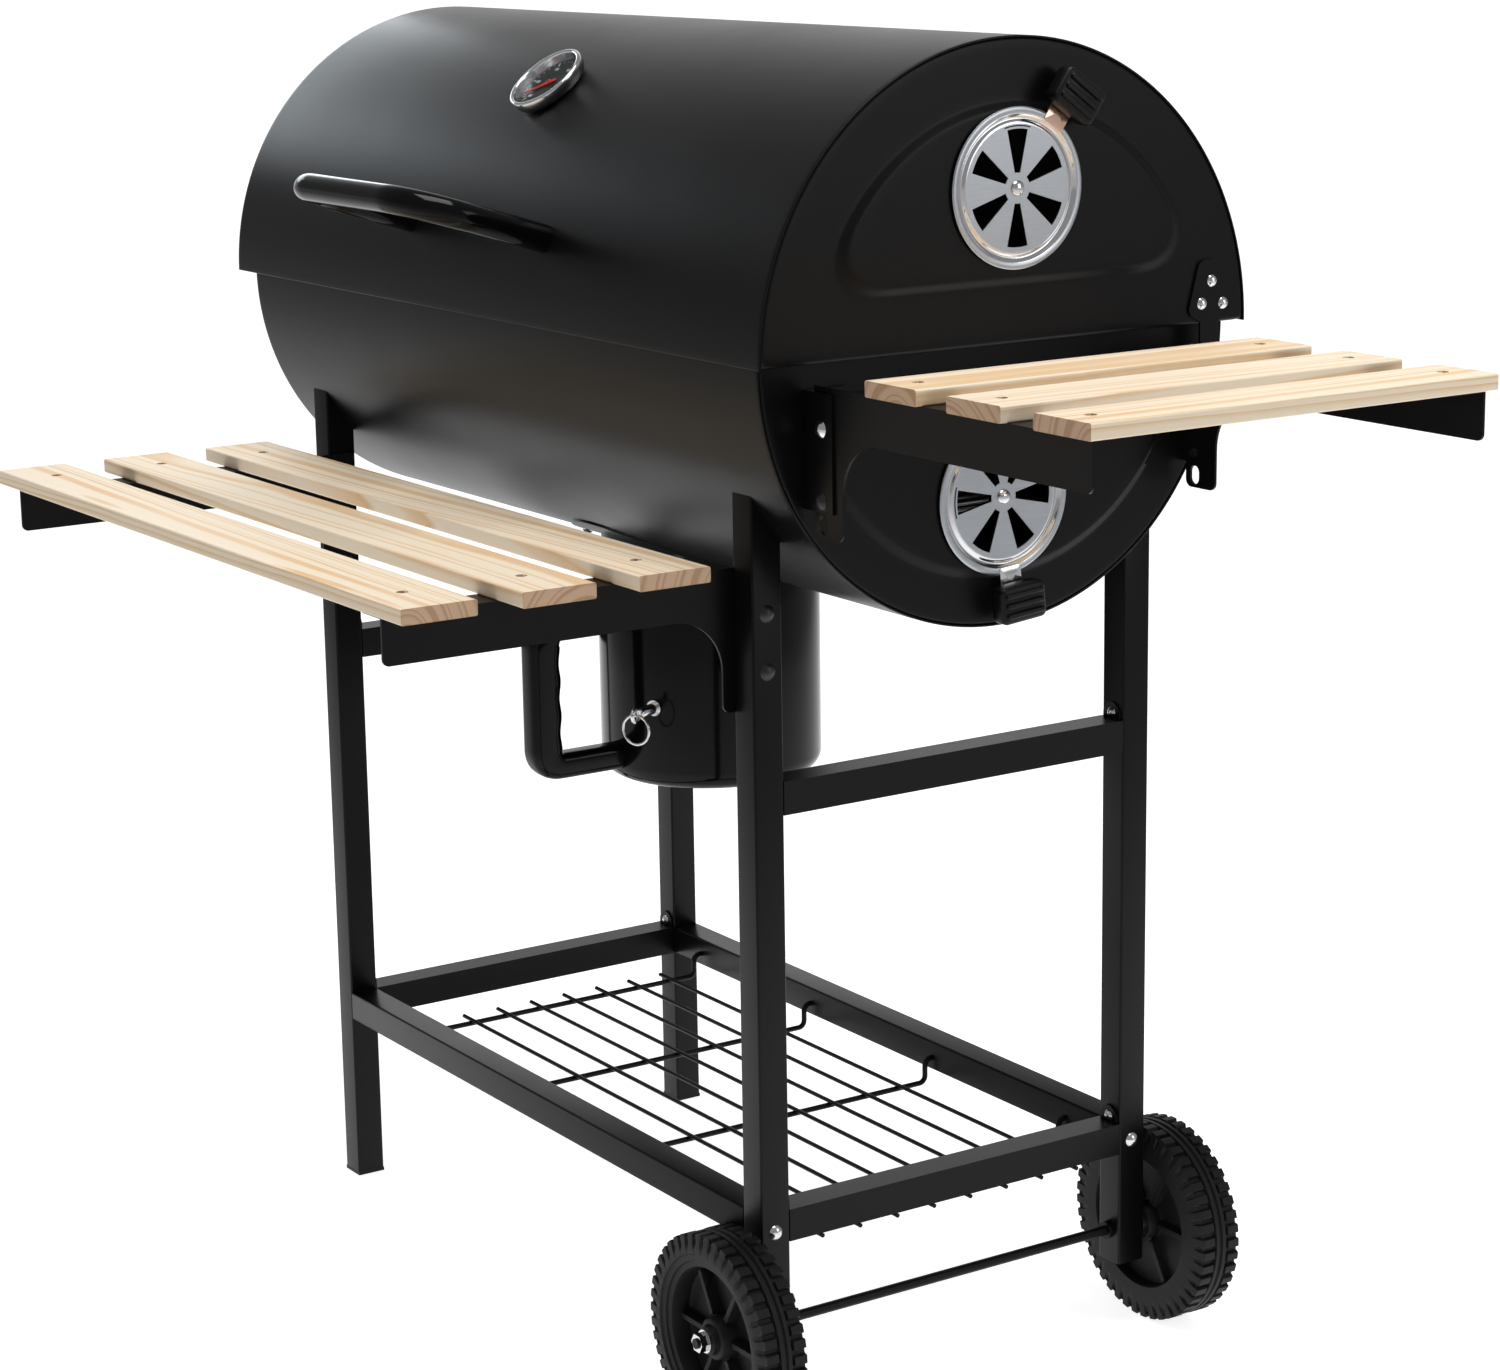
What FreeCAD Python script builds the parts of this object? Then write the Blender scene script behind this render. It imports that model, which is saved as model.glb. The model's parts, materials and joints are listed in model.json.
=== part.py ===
import FreeCAD, Part
import math
import os
import re

import Sketcher

# A barrel charcoal grill on a wheeled cart: a half-round lid hinged on a half-round bowl, two slatted
# wooden shelves, a hanging ash pot and a wire shelf. X runs along the barrel towards the vented end,
# -Y is the side the cook stands at, and Z is up from the ground. Lengths are millimetres.

V = FreeCAD.Vector
DOC = FreeCAD.newDocument("BarrelGrill")

SIZES = (
    # name, value, what it is
    ("barrel_x", -151.84, "barrel's middle along the row, from the origin"),
    ("barrel_y", 117.5, "barrel's middle across the row, from the origin"),
    ("axis_height", 820.5, "barrel axis above the ground"),
    ("wall", 1.5, "steel sheet of lid, bowl, caps and collar"),
    ("gap", 0.2, "space left between curved pieces that meet"),
    ("run_gap", 0.06, "radial clearance of a pin that turns in a hole"),
    ("hole_gap", 0.2, "radial clearance of a bolt in its hole"),
    ("lid_radius", 218.5, "outside of the lid"),
    ("lid_half", 413, "half the lid's length"),
    ("bowl_radius", 209.5, "outside of the bowl"),
    ("bowl_half", 397, "half the bowl's length"),
    ("bowl_rim", 828, "top edge of the bowl, tucked inside the lid"),
    ("panel_depth", 4, "how far the pressed panel of a cap stands out"),
    ("panel_radius", 170, "arc of the pressed panel, about the barrel axis"),
    ("panel_edge", 45.5, "straight edge of the panel, from the barrel axis"),
    ("panel_round", 32, "rounding of the panel's corners"),
    ("bowl_panel_half", 126, "half of the right bowl panel, clear of the shelf's mounts"),
    ("tube", 25.4, "square tube of the cart"),
    ("tube_wall", 1.5, "its wall"),
    ("leg_x", 334.5, "legs from the middle, along"),
    ("leg_y", 171.3, "legs from the middle, across"),
    ("foot", 3, "thickness of a foot cap below its leg"),
    ("axle_leg_low", 55, "lower end of the two legs that carry the axle"),
    ("low_rail_top", 174.5, "top of the lower rails"),
    ("high_rail_top", 506, "top of the upper rails"),
    ("tab_width", 20, "bolting tab at a rail's end"),
    ("tab_rise", 13, "how far the tab stands above its rail"),
    ("tab_bolt", 4.5, "tab bolt above the rail's top"),
    ("frame_bolt", 159, "height of the bolts through the legs into the rails"),
    ("wire", 1.75, "radius of the long shelf wires"),
    ("cross_wire", 2.3, "radius of the cross wires"),
    ("wire_height", 142.5, "middle of the long wires"),
    ("wire_pitch", 35, "spacing of the long wires"),
    ("wire_left", 290, "left end of the long wires"),
    ("wire_right", 338, "right end of the long wires"),
    ("cross_pitch", 184.5, "spacing of the cross wires"),
    ("cross_reach", 152, "where a cross wire turns up"),
    ("hook_height", 159.5, "where a cross wire enters its rail"),
    ("bend", 6, "bending radius of the wires"),
    ("wheel_radius", 81.5, "over the tread lugs"),
    ("wheel_width", 38, "tread width"),
    ("wheel_y", 208, "middle of each wheel"),
    ("axle_radius", 4, "axle rod"),
    ("axle_half", 237, "half the axle's length"),
    ("vent_radius", 57.4, "vent disc"),
    ("vent_sheet", 1.2, "its thickness"),
    ("vent_inner", 11, "inner radius of the vent windows"),
    ("vent_outer", 42, "outer radius of the vent windows"),
    ("window_angle", 25, "width of a vent window, degrees"),
    ("lid_vent_rise", 111.5, "lid vent above the barrel axis"),
    ("bowl_vent_drop", 113, "bowl vent below the barrel axis"),
    ("rivet", 3, "shank radius of a vent's rivet"),
    ("knob_reach", 75, "vent knob from the vent's middle"),
    ("knob_width", 40, "vent knob, round the vent"),
    ("knob_depth", 28, "vent knob, towards the vent"),
    ("knob_height", 17, "vent knob, standing out"),
    ("pivot_y", 183, "hinge pin behind the middle"),
    ("pivot_height", 793, "hinge pin above the ground"),
    ("pin", 4, "hinge pin radius"),
    ("hinge_sheet", 2, "hinge plates"),
    ("handle_angle", 17.5, "lid handle above the horizontal, degrees"),
    ("handle_half", 106, "half the width between the handle's legs"),
    ("handle_reach", 113, "grip's middle off the lid"),
    ("handle_bend", 45, "bending radius of the handle"),
    ("handle_tube", 11, "handle tube radius"),
    ("handle_bore", 9.5, "its inside radius"),
    ("gauge_angle", 51.4, "thermometer above the horizontal, degrees"),
    ("gauge_radius", 33, "thermometer case"),
    ("gauge_height", 11.5, "case, from the lid outwards"),
    ("stem", 4, "probe radius"),
    ("arm_length", 308, "shelf arm"),
    ("arm_depth", 35, "its depth under the slats"),
    ("lug_width", 33, "width of the arm's lug"),
    ("lug_depth", 107, "depth of the arm's lug"),
    ("arm_round", 41, "curve between lug and arm"),
    ("plate", 2, "shelf arm sheet"),
    ("flange", 30, "width of the arm's top flange"),
    ("slat_width", 59, "shelf slat"),
    ("slat_pitch", 94, "front slats, middle to middle"),
    ("side_pitch", 93, "side slats, middle to middle"),
    ("slat_thick", 11.5, "slat thickness"),
    ("slat_round", 1.5, "rounding of the slat's long edges"),
    ("front_slat_half", 357, "half the front slats' length"),
    ("side_slat_half", 175, "half the side slats' length"),
    ("front_edge", 472, "front edge of the front shelf"),
    ("front_arm_top", 664.5, "underside of the front slats"),
    ("front_arm_tip", 468.6, "tips of the front arms"),
    ("side_edge", 722, "outer edge of the side shelf"),
    ("side_arm_top", 805.5, "underside of the side slats"),
    ("side_arm_tip", 716, "tips of the side arms"),
    ("side_arm_y", 169.5, "outer faces of the side arms"),
    ("screw_inset", 17.7, "slat screws from an arm's plate"),
    ("pot_radius", 92, "ash pot"),
    ("pot_low", 424, "underside of the ash pot"),
    ("pot_top", 605, "its open rim"),
    ("collar_radius", 88, "collar under the bowl"),
    ("collar_low", 482, "its lower edge, inside the pot"),
    ("collar_flange", 112, "flange of the collar against the bowl"),
    ("latch_angle", 28, "latch pin round from the front, degrees"),
    ("latch_height", 493, "latch pin above the ground"),
    ("grate_wire", 2.5, "grate rod radius"),
    ("grate_height", 794, "cooking grates"),
    ("grate_half", 194, "half their depth"),
    ("bed_height", 692, "charcoal grate"),
    ("bed_half", 150, "half its depth"),
)

UP = FreeCAD.Rotation()
DOWN = FreeCAD.Rotation(V(1, 0, 0), 180)
ALONG_X = FreeCAD.Rotation(V(1, 1, 1), 120)      # own x to +Y, own y to +Z, own z to +X
ALONG_Y = FreeCAD.Rotation(V(1, 1, 1), 240)      # own x to +Z, own y to +X, own z to +Y
TO_LEFT = FreeCAD.Rotation(V(0, 1, 0), -90)      # own z to -X
TO_FRONT = FreeCAD.Rotation(V(1, 0, 0), 90)      # own x stays, own y to +Z, own z to -Y
TO_BACK = FreeCAD.Rotation(V(1, 0, 0), -90)      # own z to +Y

NAMES = {name for name, number, words in SIZES}
WORD = re.compile(r"[A-Za-z_]\w*")
NODES = []


def fill_sheet():
    """Writes the sizes into the sheet, a row each: number with its name, then what it is."""
    sheet = DOC.addObject("Spreadsheet::Sheet", "Dims")
    for row, (name, number, words) in enumerate(SIZES, 1):
        sheet.set("A%d" % row, str(number))
        sheet.setAlias("A%d" % row, name)
        sheet.set("B%d" % row, words)
    DOC.recompute()
    return sheet


SHEET = fill_sheet()


def full(text):
    """Turns the names in an expression into the sheet's own."""
    return WORD.sub(lambda hit: ("Dims." if hit.group() in NAMES else "") + hit.group(), str(text))


def number(text):
    return float(SHEET.evalExpression(full(text)))


def bind(thing, **sizes):
    for name, text in sizes.items():
        thing.setExpression(name, full(text))
    return thing


def at(thing, place, turn=UP):
    """Puts a thing at a place measured from the ground under the barrel's middle."""
    thing.Placement = FreeCAD.Placement(V(), turn)
    thing.setExpression("Placement.Base.x", full("barrel_x + (%s)" % place[0]))
    thing.setExpression("Placement.Base.y", full("barrel_y + (%s)" % place[1]))
    thing.setExpression("Placement.Base.z", full(place[2]))
    return thing


def node(name, thing):
    thing.Label = name
    NODES.append(thing)
    return thing


# ---- plain solids and what is done with them ------------------------------------------------------


def box(low, size):
    block = DOC.addObject("Part::Box", "Block")
    bind(block, Length=size[0], Width=size[1], Height=size[2])
    return at(block, low)


def rod(radius, length, place, turn=UP):
    round_bar = DOC.addObject("Part::Cylinder", "RoundBar")
    bind(round_bar, Radius=radius, Height=length)
    return at(round_bar, place, turn)


def bar_x(radius, low, high, y, z):
    return rod(radius, "(%s) - (%s)" % (high, low), (low, y, z), ALONG_X)


def bar_y(radius, low, high, x, z):
    return rod(radius, "(%s) - (%s)" % (high, low), (x, low, z), ALONG_Y)


def elbow(bend, radius, place, turn):
    """A quarter turn of round bar, from own +x round to own +y."""
    quarter = DOC.addObject("Part::Torus", "Elbow")
    bind(quarter, Radius1=bend, Radius2=radius)
    quarter.Angle3 = 90
    return at(quarter, place, turn)


def cut(base, *tools):
    for tool in tools:
        left = DOC.addObject("Part::Cut", "Trimmed")
        left.Base = base
        left.Tool = tool
        base = left
    return base


def fuse(*things):
    joined = DOC.addObject("Part::MultiFuse", "Joined")
    joined.Shapes = list(things)
    return joined


def group(*things):
    lot = DOC.addObject("Part::Compound", "Lot")
    lot.Links = list(things)
    return lot


def common(one, other):
    shared = DOC.addObject("Part::Common", "Shared")
    shared.Base = one
    shared.Tool = other
    return shared


def ring(outer, inner, length, place, turn=UP):
    return cut(rod(outer, length, place, turn), rod(inner, length, place, turn))


def radial(angle):
    """Turns own z to point away from the barrel axis, an angle above the front horizontal."""
    return FreeCAD.Rotation(V(1, 0, 0), 90 - number(angle))


def out(angle, distance):
    """Depth and height of a point at a distance from the barrel axis, at such an angle."""
    y = "-(%s) * cos(%s)" % (distance, angle)
    z = "axis_height + (%s) * sin(%s)" % (distance, angle)
    return y, z


# ---- sketched bodies ------------------------------------------------------------------------------


def new_sketch(body, role, name):
    sketch = body.newObject("Sketcher::SketchObject", name)
    plane = next(part for part in body.Origin.OriginFeatures if part.Role == role)
    sketch.AttachmentSupport = [(plane, "")]
    sketch.MapMode = "FlatFace"
    return sketch


def pin_point(sketch, line, end, corner):
    """Ties one end of a line to a corner whose two coordinates are expressions."""
    for kind, axis, text in (("DistanceX", -2, corner[0]), ("DistanceY", -1, corner[1])):
        size = number(text)
        if abs(size) < 1e-9:
            sketch.addConstraint(Sketcher.Constraint("PointOnObject", line, end, axis))
            continue
        row = sketch.addConstraint(Sketcher.Constraint(kind, -1, 1, line, end, size))
        sketch.setExpression("Constraints[%d]" % row, full(text))


def outline(sketch, corners):
    """Closes a polygon through the corners."""
    points = [V(number(x), number(y), 0) for x, y in corners]
    count = len(points)
    for i in range(count):
        sketch.addGeometry(Part.LineSegment(points[i], points[(i + 1) % count]))
    for i in range(count):
        sketch.addConstraint(Sketcher.Constraint("Coincident", i, 2, (i + 1) % count, 1))
        pin_point(sketch, i, 1, corners[i])


def round_edges(body, radius, wanted):
    """Rounds the edges of the body's last feature that the test wanted picks."""
    DOC.recompute()
    base = body.Tip
    picks = ["Edge%d" % i for i, edge in enumerate(base.Shape.Edges, 1) if wanted(edge)]
    fillet = body.newObject("PartDesign::Fillet", "Rounded")
    fillet.Base = (base, picks)
    bind(fillet, Radius=radius)


def upright_at(x, y):
    """Tests for a straight edge along own z through a corner of the outline."""
    corner = V(number(x), number(y), 0)

    def test(edge):
        return all((V(p.X, p.Y, 0) - corner).Length < 0.01 for p in edge.Vertexes)
    return test


def circle_at(radius, height):
    """Tests for a circle about own z, of a radius and at a height."""
    size = number(radius)
    level = number(height)

    def test(edge):
        curve = edge.Curve
        same = isinstance(curve, Part.Circle) and abs(curve.Radius - size) < 0.01
        return same and abs(curve.Center.z - level) < 0.01
    return test


def blank(corners, thickness, place, turn, rounds=()):
    """A flat piece: an outline padded along own z, with (radius, corner) pairs rounded."""
    body = DOC.addObject("PartDesign::Body", "Blank")
    sketch = new_sketch(body, "XY_Plane", "Outline")
    outline(sketch, corners)
    pad = body.newObject("PartDesign::Pad", "Thickness")
    pad.Profile = sketch
    bind(pad, Length=thickness)
    for radius, corner in rounds:
        round_edges(body, radius, upright_at(*corner))
    return at(body, place, turn)


def turned(corners, place, turn, rounds=()):
    """A turned piece: a half section of (radius, height) corners revolved about own z."""
    body = DOC.addObject("PartDesign::Body", "Turned")
    sketch = new_sketch(body, "XZ_Plane", "HalfSection")
    outline(sketch, corners)
    spin = body.newObject("PartDesign::Revolution", "Spin")
    spin.Profile = sketch
    spin.ReferenceAxis = (sketch, ["V_Axis"])
    spin.Angle = 360
    for radius, corner in rounds:
        round_edges(body, radius, circle_at(*corner))
    return at(body, place, turn)


# ---- fasteners ------------------------------------------------------------------------------------


def bolt(head, height, shank, length, place, turn):
    """A round-headed bolt: a cap of a sphere on a shank that runs back from the seat."""
    ball = (head ** 2 + height ** 2) / (2 * height)
    dome = DOC.addObject("Part::Sphere", "Dome")
    dome.Radius = ball
    dome.Angle1 = math.degrees(math.asin((ball - height) / ball))
    dome.Placement.Base = V(0, 0, height - ball)
    body = DOC.addObject("Part::Cylinder", "Shank")
    body.Radius = shank
    body.Height = length
    body.Placement.Base = V(0, 0, -length)
    return at(fuse(dome, body), place, turn)


def hexagon(across, height, bore, place, turn):
    """A nut: six sides, bored through."""
    prism = DOC.addObject("Part::Prism", "Hexagon")
    prism.Polygon = 6
    prism.Circumradius = across / math.sqrt(3)
    prism.Height = height
    hole = DOC.addObject("Part::Cylinder", "Bore")
    hole.Radius = bore
    hole.Height = height
    return at(cut(prism, hole), place, turn)


FRAME_BOLT = dict(head=6.0, height=3.6, shank=3.0)
SHELF_BOLT = dict(head=6.5, height=3.2, shank=3.0)
SMALL_BOLT = dict(head=4.6, height=2.6, shank=2.0)


# ---- cart -----------------------------------------------------------------------------------------

SIDES = ((-1, "left"), (1, "right"))
DEPTHS = ((-1, "front"), (1, "rear"))


def square_tube(low, size, along):
    """A square tube with closed ends: the hollow stops a wall short of each."""
    inner_low = ["(%s) + tube_wall" % text for text in low]
    inner_size = ["(%s) - 2 * tube_wall" % text for text in size]
    if along == "Z":
        inner_size[2] = "(%s) - tube_wall" % size[2]
    return cut(box(low, size), box(inner_low, inner_size))


def leg(side, depth):
    """A leg whose top is shaped to the bowl it carries."""
    x = "%d * leg_x - tube / 2" % side
    y = "%d * leg_y - tube / 2" % depth
    low = "foot" if side < 0 else "axle_leg_low"
    top = 722 if depth < 0 else 716
    tube = square_tube((x, y, low), ("tube", "tube", "%d - (%s)" % (top, low)), "Z")
    tools = [bar_x("bowl_radius + gap", "-450", "450", 0, "axis_height")]
    tools.append(bar_x("3.0 + hole_gap", "%d * leg_x - 20" % side, "%d * leg_x + 20" % side,
                       "%d * leg_y" % depth, "frame_bolt"))
    for level in ("low_rail_top", "high_rail_top"):
        inner = "%d * (leg_y - tube / 2)" % depth
        tools.append(bar_y("2 + hole_gap", "(%s) - 5" % inner, "(%s) + 5" % inner,
                           "%d * leg_x" % side, level + " + tab_bolt"))
    if depth < 0:
        for level in (633, 590):
            tools.append(bar_x("3 + hole_gap", "%d * leg_x - 20" % side,
                               "%d * leg_x + 20" % side, "-leg_y", level))
    if side > 0:
        tools.append(bar_y("axle_radius + hole_gap", "%d * leg_y - 20" % depth,
                           "%d * leg_y + 20" % depth, "leg_x", "wheel_radius"))
    return cut(tube, *tools)


def foot_caps():
    caps = []
    for depth, name in DEPTHS:
        low = ("-leg_x - tube / 2", "%d * leg_y - tube / 2" % depth, 0)
        caps.append(box(low, ("tube", "tube", "foot")))
    return group(*caps)


def long_rail(depth):
    """A lower rail along the barrel, with a bolt hole in each closed end."""
    half = "(leg_x - tube / 2)"
    y = "%d * leg_y" % depth
    tube = square_tube(("-" + half, y + " - tube / 2", "low_rail_top - tube"),
                       ("2 * " + half, "tube", "tube"), "X")
    holes = [bar_x("3 + hole_gap", "%d * %s - 5" % (side, half), "%d * %s + 5" % (side, half),
                   y, "frame_bolt") for side, name in SIDES]
    hooks = []
    for place in (-1.5, -0.5, 0.5, 1.5):
        inner = "%d * (leg_y - tube / 2)" % depth
        hooks.append(bar_y("cross_wire + 0.3", inner + " - 5", inner + " + 5",
                           "%s * cross_pitch" % place, "hook_height"))
    return cut(tube, *holes, *hooks)


def side_rail(side, top):
    """A rail across the cart, with a rounded bolting tab standing above each end."""
    x = "%d * leg_x" % side
    half = "(leg_y - tube / 2)"
    pieces = [square_tube((x + " - tube / 2", "-" + half, top + " - tube"),
                          ("tube", "2 * " + half, "tube"), "Y")]
    for depth in (-1, 1):
        low = "-" + half if depth < 0 else half + " - tube_wall"
        tab = box((x + " - tab_width / 2", low, top + " - 1"),
                  ("tab_width", "tube_wall", "tab_rise - tab_width / 2 + 1"))
        crown = rod("tab_width / 2", "tube_wall",
                    (x, low, top + " + tab_rise - tab_width / 2"), ALONG_Y)
        pieces += [tab, crown]
    rail = fuse(*pieces)
    holes = [bar_y("2 + hole_gap", "%d * %s - 5" % (depth, half), "%d * %s + 5" % (depth, half),
                   x, top + " + tab_bolt") for depth in (-1, 1)]
    return cut(rail, *holes)


def wire_shelf():
    """Eight long wires on four cross wires, whose ends turn up and out into the lower rails."""
    wires = []
    for i in range(8):
        wires.append(bar_x("wire", "-wire_left", "wire_right",
                           "%s * wire_pitch" % (i - 3.5), "wire_height"))
    low = "wire_height - wire - cross_wire + 0.5"
    for i in range(4):
        x = "%s * cross_pitch" % (i - 1.5)
        wires.append(bar_y("cross_wire", "-cross_reach + bend", "cross_reach - bend", x, low))
        for depth, turn_low, turn_high in ((-1, CORNER_FRONT, HOOK_FRONT), (1, CORNER_REAR, HOOK_REAR)):
            centre = "%d * (cross_reach - bend)" % depth
            wires.append(elbow("bend", "cross_wire", (x, centre, low + " + bend"), turn_low))
            wires.append(rod("cross_wire", "hook_height - bend - (%s + bend)" % low,
                             (x, "%d * cross_reach" % depth, low + " + bend")))
            wires.append(elbow("bend", "cross_wire",
                               (x, "%d * (cross_reach + bend)" % depth, "hook_height - bend"), turn_high))
            start = "cross_reach + bend" if depth > 0 else "-cross_reach - bend - 8"
            wires.append(bar_y("cross_wire", start, "(%s) + 8" % start, x, "hook_height"))
    return fuse(*wires)


def facing(own_x, own_y):
    """The turn that takes own x and own y to two given directions."""
    own_z = own_x.cross(own_y)
    return FreeCAD.Rotation(own_x, own_y, own_z, "ZXY")


CORNER_FRONT = facing(V(0, -1, 0), V(0, 0, -1))
CORNER_REAR = facing(V(0, 0, -1), V(0, 1, 0))
HOOK_FRONT = facing(V(0, 0, 1), V(0, 1, 0))
HOOK_REAR = facing(V(0, -1, 0), V(0, 0, 1))


def axle():
    bar = bar_y("axle_radius", "-axle_half", "axle_half", "leg_x", "wheel_radius")
    collars = [bar_y("axle_radius + 3", "%s" % low, "%s + 4" % low, "leg_x", "wheel_radius")
               for low in ("leg_y - tube / 2 - 4.3", "-leg_y + tube / 2 + 0.3")]
    return fuse(bar, *collars)


def wheel(depth):
    """A wheel turned in one piece: tread, thin web set back from the outer face, and hub."""
    half = "wheel_width / 2"
    corners = (("axle_radius + run_gap", "-%s" % half), (15, "-%s" % half), (15, -8),
               (54, -8), (54, "-%s" % half), ("wheel_radius", "-%s" % half),
               ("wheel_radius", half), (54, half), (54, 0), (15, 0), (15, half),
               ("axle_radius + run_gap", half))
    turn = ALONG_Y if depth > 0 else TO_FRONT
    rounds = ((4, ("wheel_radius", half)), (4, ("wheel_radius", "-%s" % half)))
    return turned(corners, ("leg_x", "%d * wheel_y" % depth, "wheel_radius"), turn, rounds)


def axle_nuts():
    nuts = []
    for depth in (-1, 1):
        turn = ALONG_Y if depth > 0 else TO_FRONT
        y = "%d * (wheel_y + wheel_width / 2 + 2)" % depth
        nuts.append(hexagon(13, 6.5, number("axle_radius") + 0.02, ("leg_x", y, "wheel_radius"), turn))
    return nuts


def axle_washers():
    """A washer each side of each wheel."""
    washers = []
    for depth in (-1, 1):
        for low in ("wheel_y + wheel_width / 2 + 0.3", "wheel_y - wheel_width / 2 - 1.8"):
            start = low if depth > 0 else "-(%s) - 1.5" % low
            washers.append(ring(9, "axle_radius + 0.05", 1.5, ("leg_x", start, "wheel_radius"), ALONG_Y))
    return washers


def frame_bolts():
    """Bolts through the legs into the long rails, and through the tabs into the legs."""
    bolts = []
    for side, turn in ((-1, TO_LEFT), (1, ALONG_X)):
        for depth in (-1, 1):
            x = "%d * (leg_x + tube / 2)" % side
            bolts.append(bolt(length=32, place=(x, "%d * leg_y" % depth, "frame_bolt"),
                              turn=turn, **FRAME_BOLT))
            for top in ("low_rail_top", "high_rail_top"):
                y = "%d * (leg_y - tube / 2 - tube_wall)" % depth
                away = TO_BACK if depth < 0 else TO_FRONT
                bolts.append(bolt(length=8, place=("%d * leg_x" % side, y, top + " + tab_bolt"),
                                  turn=away, **SMALL_BOLT))
    return bolts


# ---- barrel ---------------------------------------------------------------------------------------


def half_pipe(radius, half):
    """A sheet tube along the barrel axis, with its wall inside the radius."""
    return cut(bar_x(radius, "-(%s)" % half, half, 0, "axis_height"),
               bar_x("%s - wall" % radius, "-(%s) - 1" % half, "(%s) + 1" % half, 0, "axis_height"))


def above(height):
    return box((-600, -300, height), (1200, 600, 400))


def below(height):
    return box((-600, -300, "(%s) - 400" % height), (1200, 600, 400))


def sectors(x, rise, first, length):
    """Six window-shaped wedges round a vent's middle, the first at an angle from +Y."""
    wedges = []
    for i in range(6):
        wedge = DOC.addObject("Part::Cylinder", "Wedge")
        bind(wedge, Radius="vent_outer", Height=length, Angle="window_angle")
        start = FreeCAD.Rotation(V(0, 0, 1), first + 60 * i - number("window_angle") / 2)
        at(wedge, (x, 0, "axis_height + (%s)" % rise), ALONG_X.multiply(start))
        wedges.append(wedge)
    core = bar_x("vent_inner", "(%s) - 1" % x, "(%s) + (%s) + 1" % (x, length),
                 0, "axis_height + (%s)" % rise)
    return cut(group(*wedges), core)


def panel(x, way, radius_change, thickness):
    """The pressed panel of a cap as a slab: half a disc cut level, with rounded corners."""
    edge = number("panel_edge")
    body = DOC.addObject("PartDesign::Body", "Panel")
    sketch = new_sketch(body, "XY_Plane", "Outline")
    shrink = float(radius_change)
    radius = number("panel_radius") - shrink
    level = way * (edge + shrink)
    reach = math.sqrt(radius ** 2 - level ** 2)
    slant = math.atan2(abs(level), reach)
    first, last = (slant, math.pi - slant) if way > 0 else (math.pi + slant, 2 * math.pi - slant)
    start = V(radius * math.cos(first), radius * math.sin(first), 0)
    end = V(radius * math.cos(last), radius * math.sin(last), 0)
    sketch.addGeometry(Part.ArcOfCircle(Part.Circle(V(), V(0, 0, 1), radius), first, last))
    sketch.addGeometry(Part.LineSegment(end, start))
    sketch.addConstraint(Sketcher.Constraint("Coincident", 0, 2, 1, 1))
    sketch.addConstraint(Sketcher.Constraint("Coincident", 0, 1, 1, 2))
    sketch.addConstraint(Sketcher.Constraint("Coincident", 0, 3, -1, 1))
    sketch.addConstraint(Sketcher.Constraint("Horizontal", 1))
    row = sketch.addConstraint(Sketcher.Constraint("Radius", 0, radius))
    sketch.setExpression("Constraints[%d]" % row, full("panel_radius - %s" % shrink))
    row = sketch.addConstraint(Sketcher.Constraint("DistanceY", -1, 1, 1, 1, level))
    sketch.setExpression("Constraints[%d]" % row, full("%d * (panel_edge + %s)" % (way, shrink)))
    pad = body.newObject("PartDesign::Pad", "Thickness")
    pad.Profile = sketch
    bind(pad, Length=thickness)
    for corner in (start, end):
        round_edges(body, "panel_round - %s" % shrink, upright_at(corner.x, corner.y))
    return at(body, (x, 0, "axis_height"), ALONG_X)


def between(half_depth):
    """A slab through the whole barrel that keeps only what lies between two depths."""
    slab = DOC.addObject("Part::Box", "Between")
    bind(slab, Length="2 * lid_half + 80", Width="2 * (%s)" % half_depth, Height="4 * lid_radius")
    return at(slab, ("-lid_half - 40", "-(%s)" % half_depth, "axis_height - 2 * lid_radius"))


def cap(side, outer_x, radius, keep, way, vent_rise=None, first=0, half_depth=None):
    """An end cap: a flat sheet with a pressed panel, and vent windows where it has a vent."""
    base_x = outer_x + " - wall" if side > 0 else "-(%s)" % outer_x
    flat = common(rod(radius, "wall", (base_x, 0, "axis_height"), ALONG_X), keep)
    if side > 0:
        raised_x, dish_x = outer_x, outer_x + " - wall"
    else:
        raised_x, dish_x = "-(%s) - panel_depth" % outer_x, "-(%s) - panel_depth + wall" % outer_x
    raised = panel(raised_x, way, 0, "panel_depth")
    dish = panel(dish_x, way, 1.5, "panel_depth")
    if half_depth:
        raised = common(raised, between(half_depth))
        dish = common(dish, between(half_depth + " - wall"))
    piece = cut(fuse(flat, raised), dish)
    if vent_rise is None:
        return piece
    windows = sectors("%s - 10" % outer_x, vent_rise, first, 20)
    hole = bar_x("rivet + hole_gap", outer_x + " - 10", outer_x + " + 10",
                 0, "axis_height + (%s)" % vent_rise)
    return cut(piece, windows, hole)


def lid_shell():
    shell = common(half_pipe("lid_radius", "lid_half"), above("axis_height"))
    holes = []
    y, z = out("handle_angle", "lid_radius - 5")
    for side in (-1, 1):
        holes.append(rod("2.5 + hole_gap", 10, ("%d * handle_half" % side, y, z), radial("handle_angle")))
    y, z = out("gauge_angle", "lid_radius - 5")
    holes.append(rod("stem + hole_gap", 10, (0, y, z), radial("gauge_angle")))
    return cut(shell, *holes)


def lid_cap(side):
    vent = "lid_vent_rise" if side > 0 else None
    piece = cap(side, "lid_half", "lid_radius - wall - 0.1", above("axis_height"), 1, vent, 30)
    holes = [bar_x("2 + hole_gap", "%d * lid_half - 5" % side, "%d * lid_half + 5" % side, y, z)
             for y, z in HINGE_BOLTS]
    return cut(piece, *holes)


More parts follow.
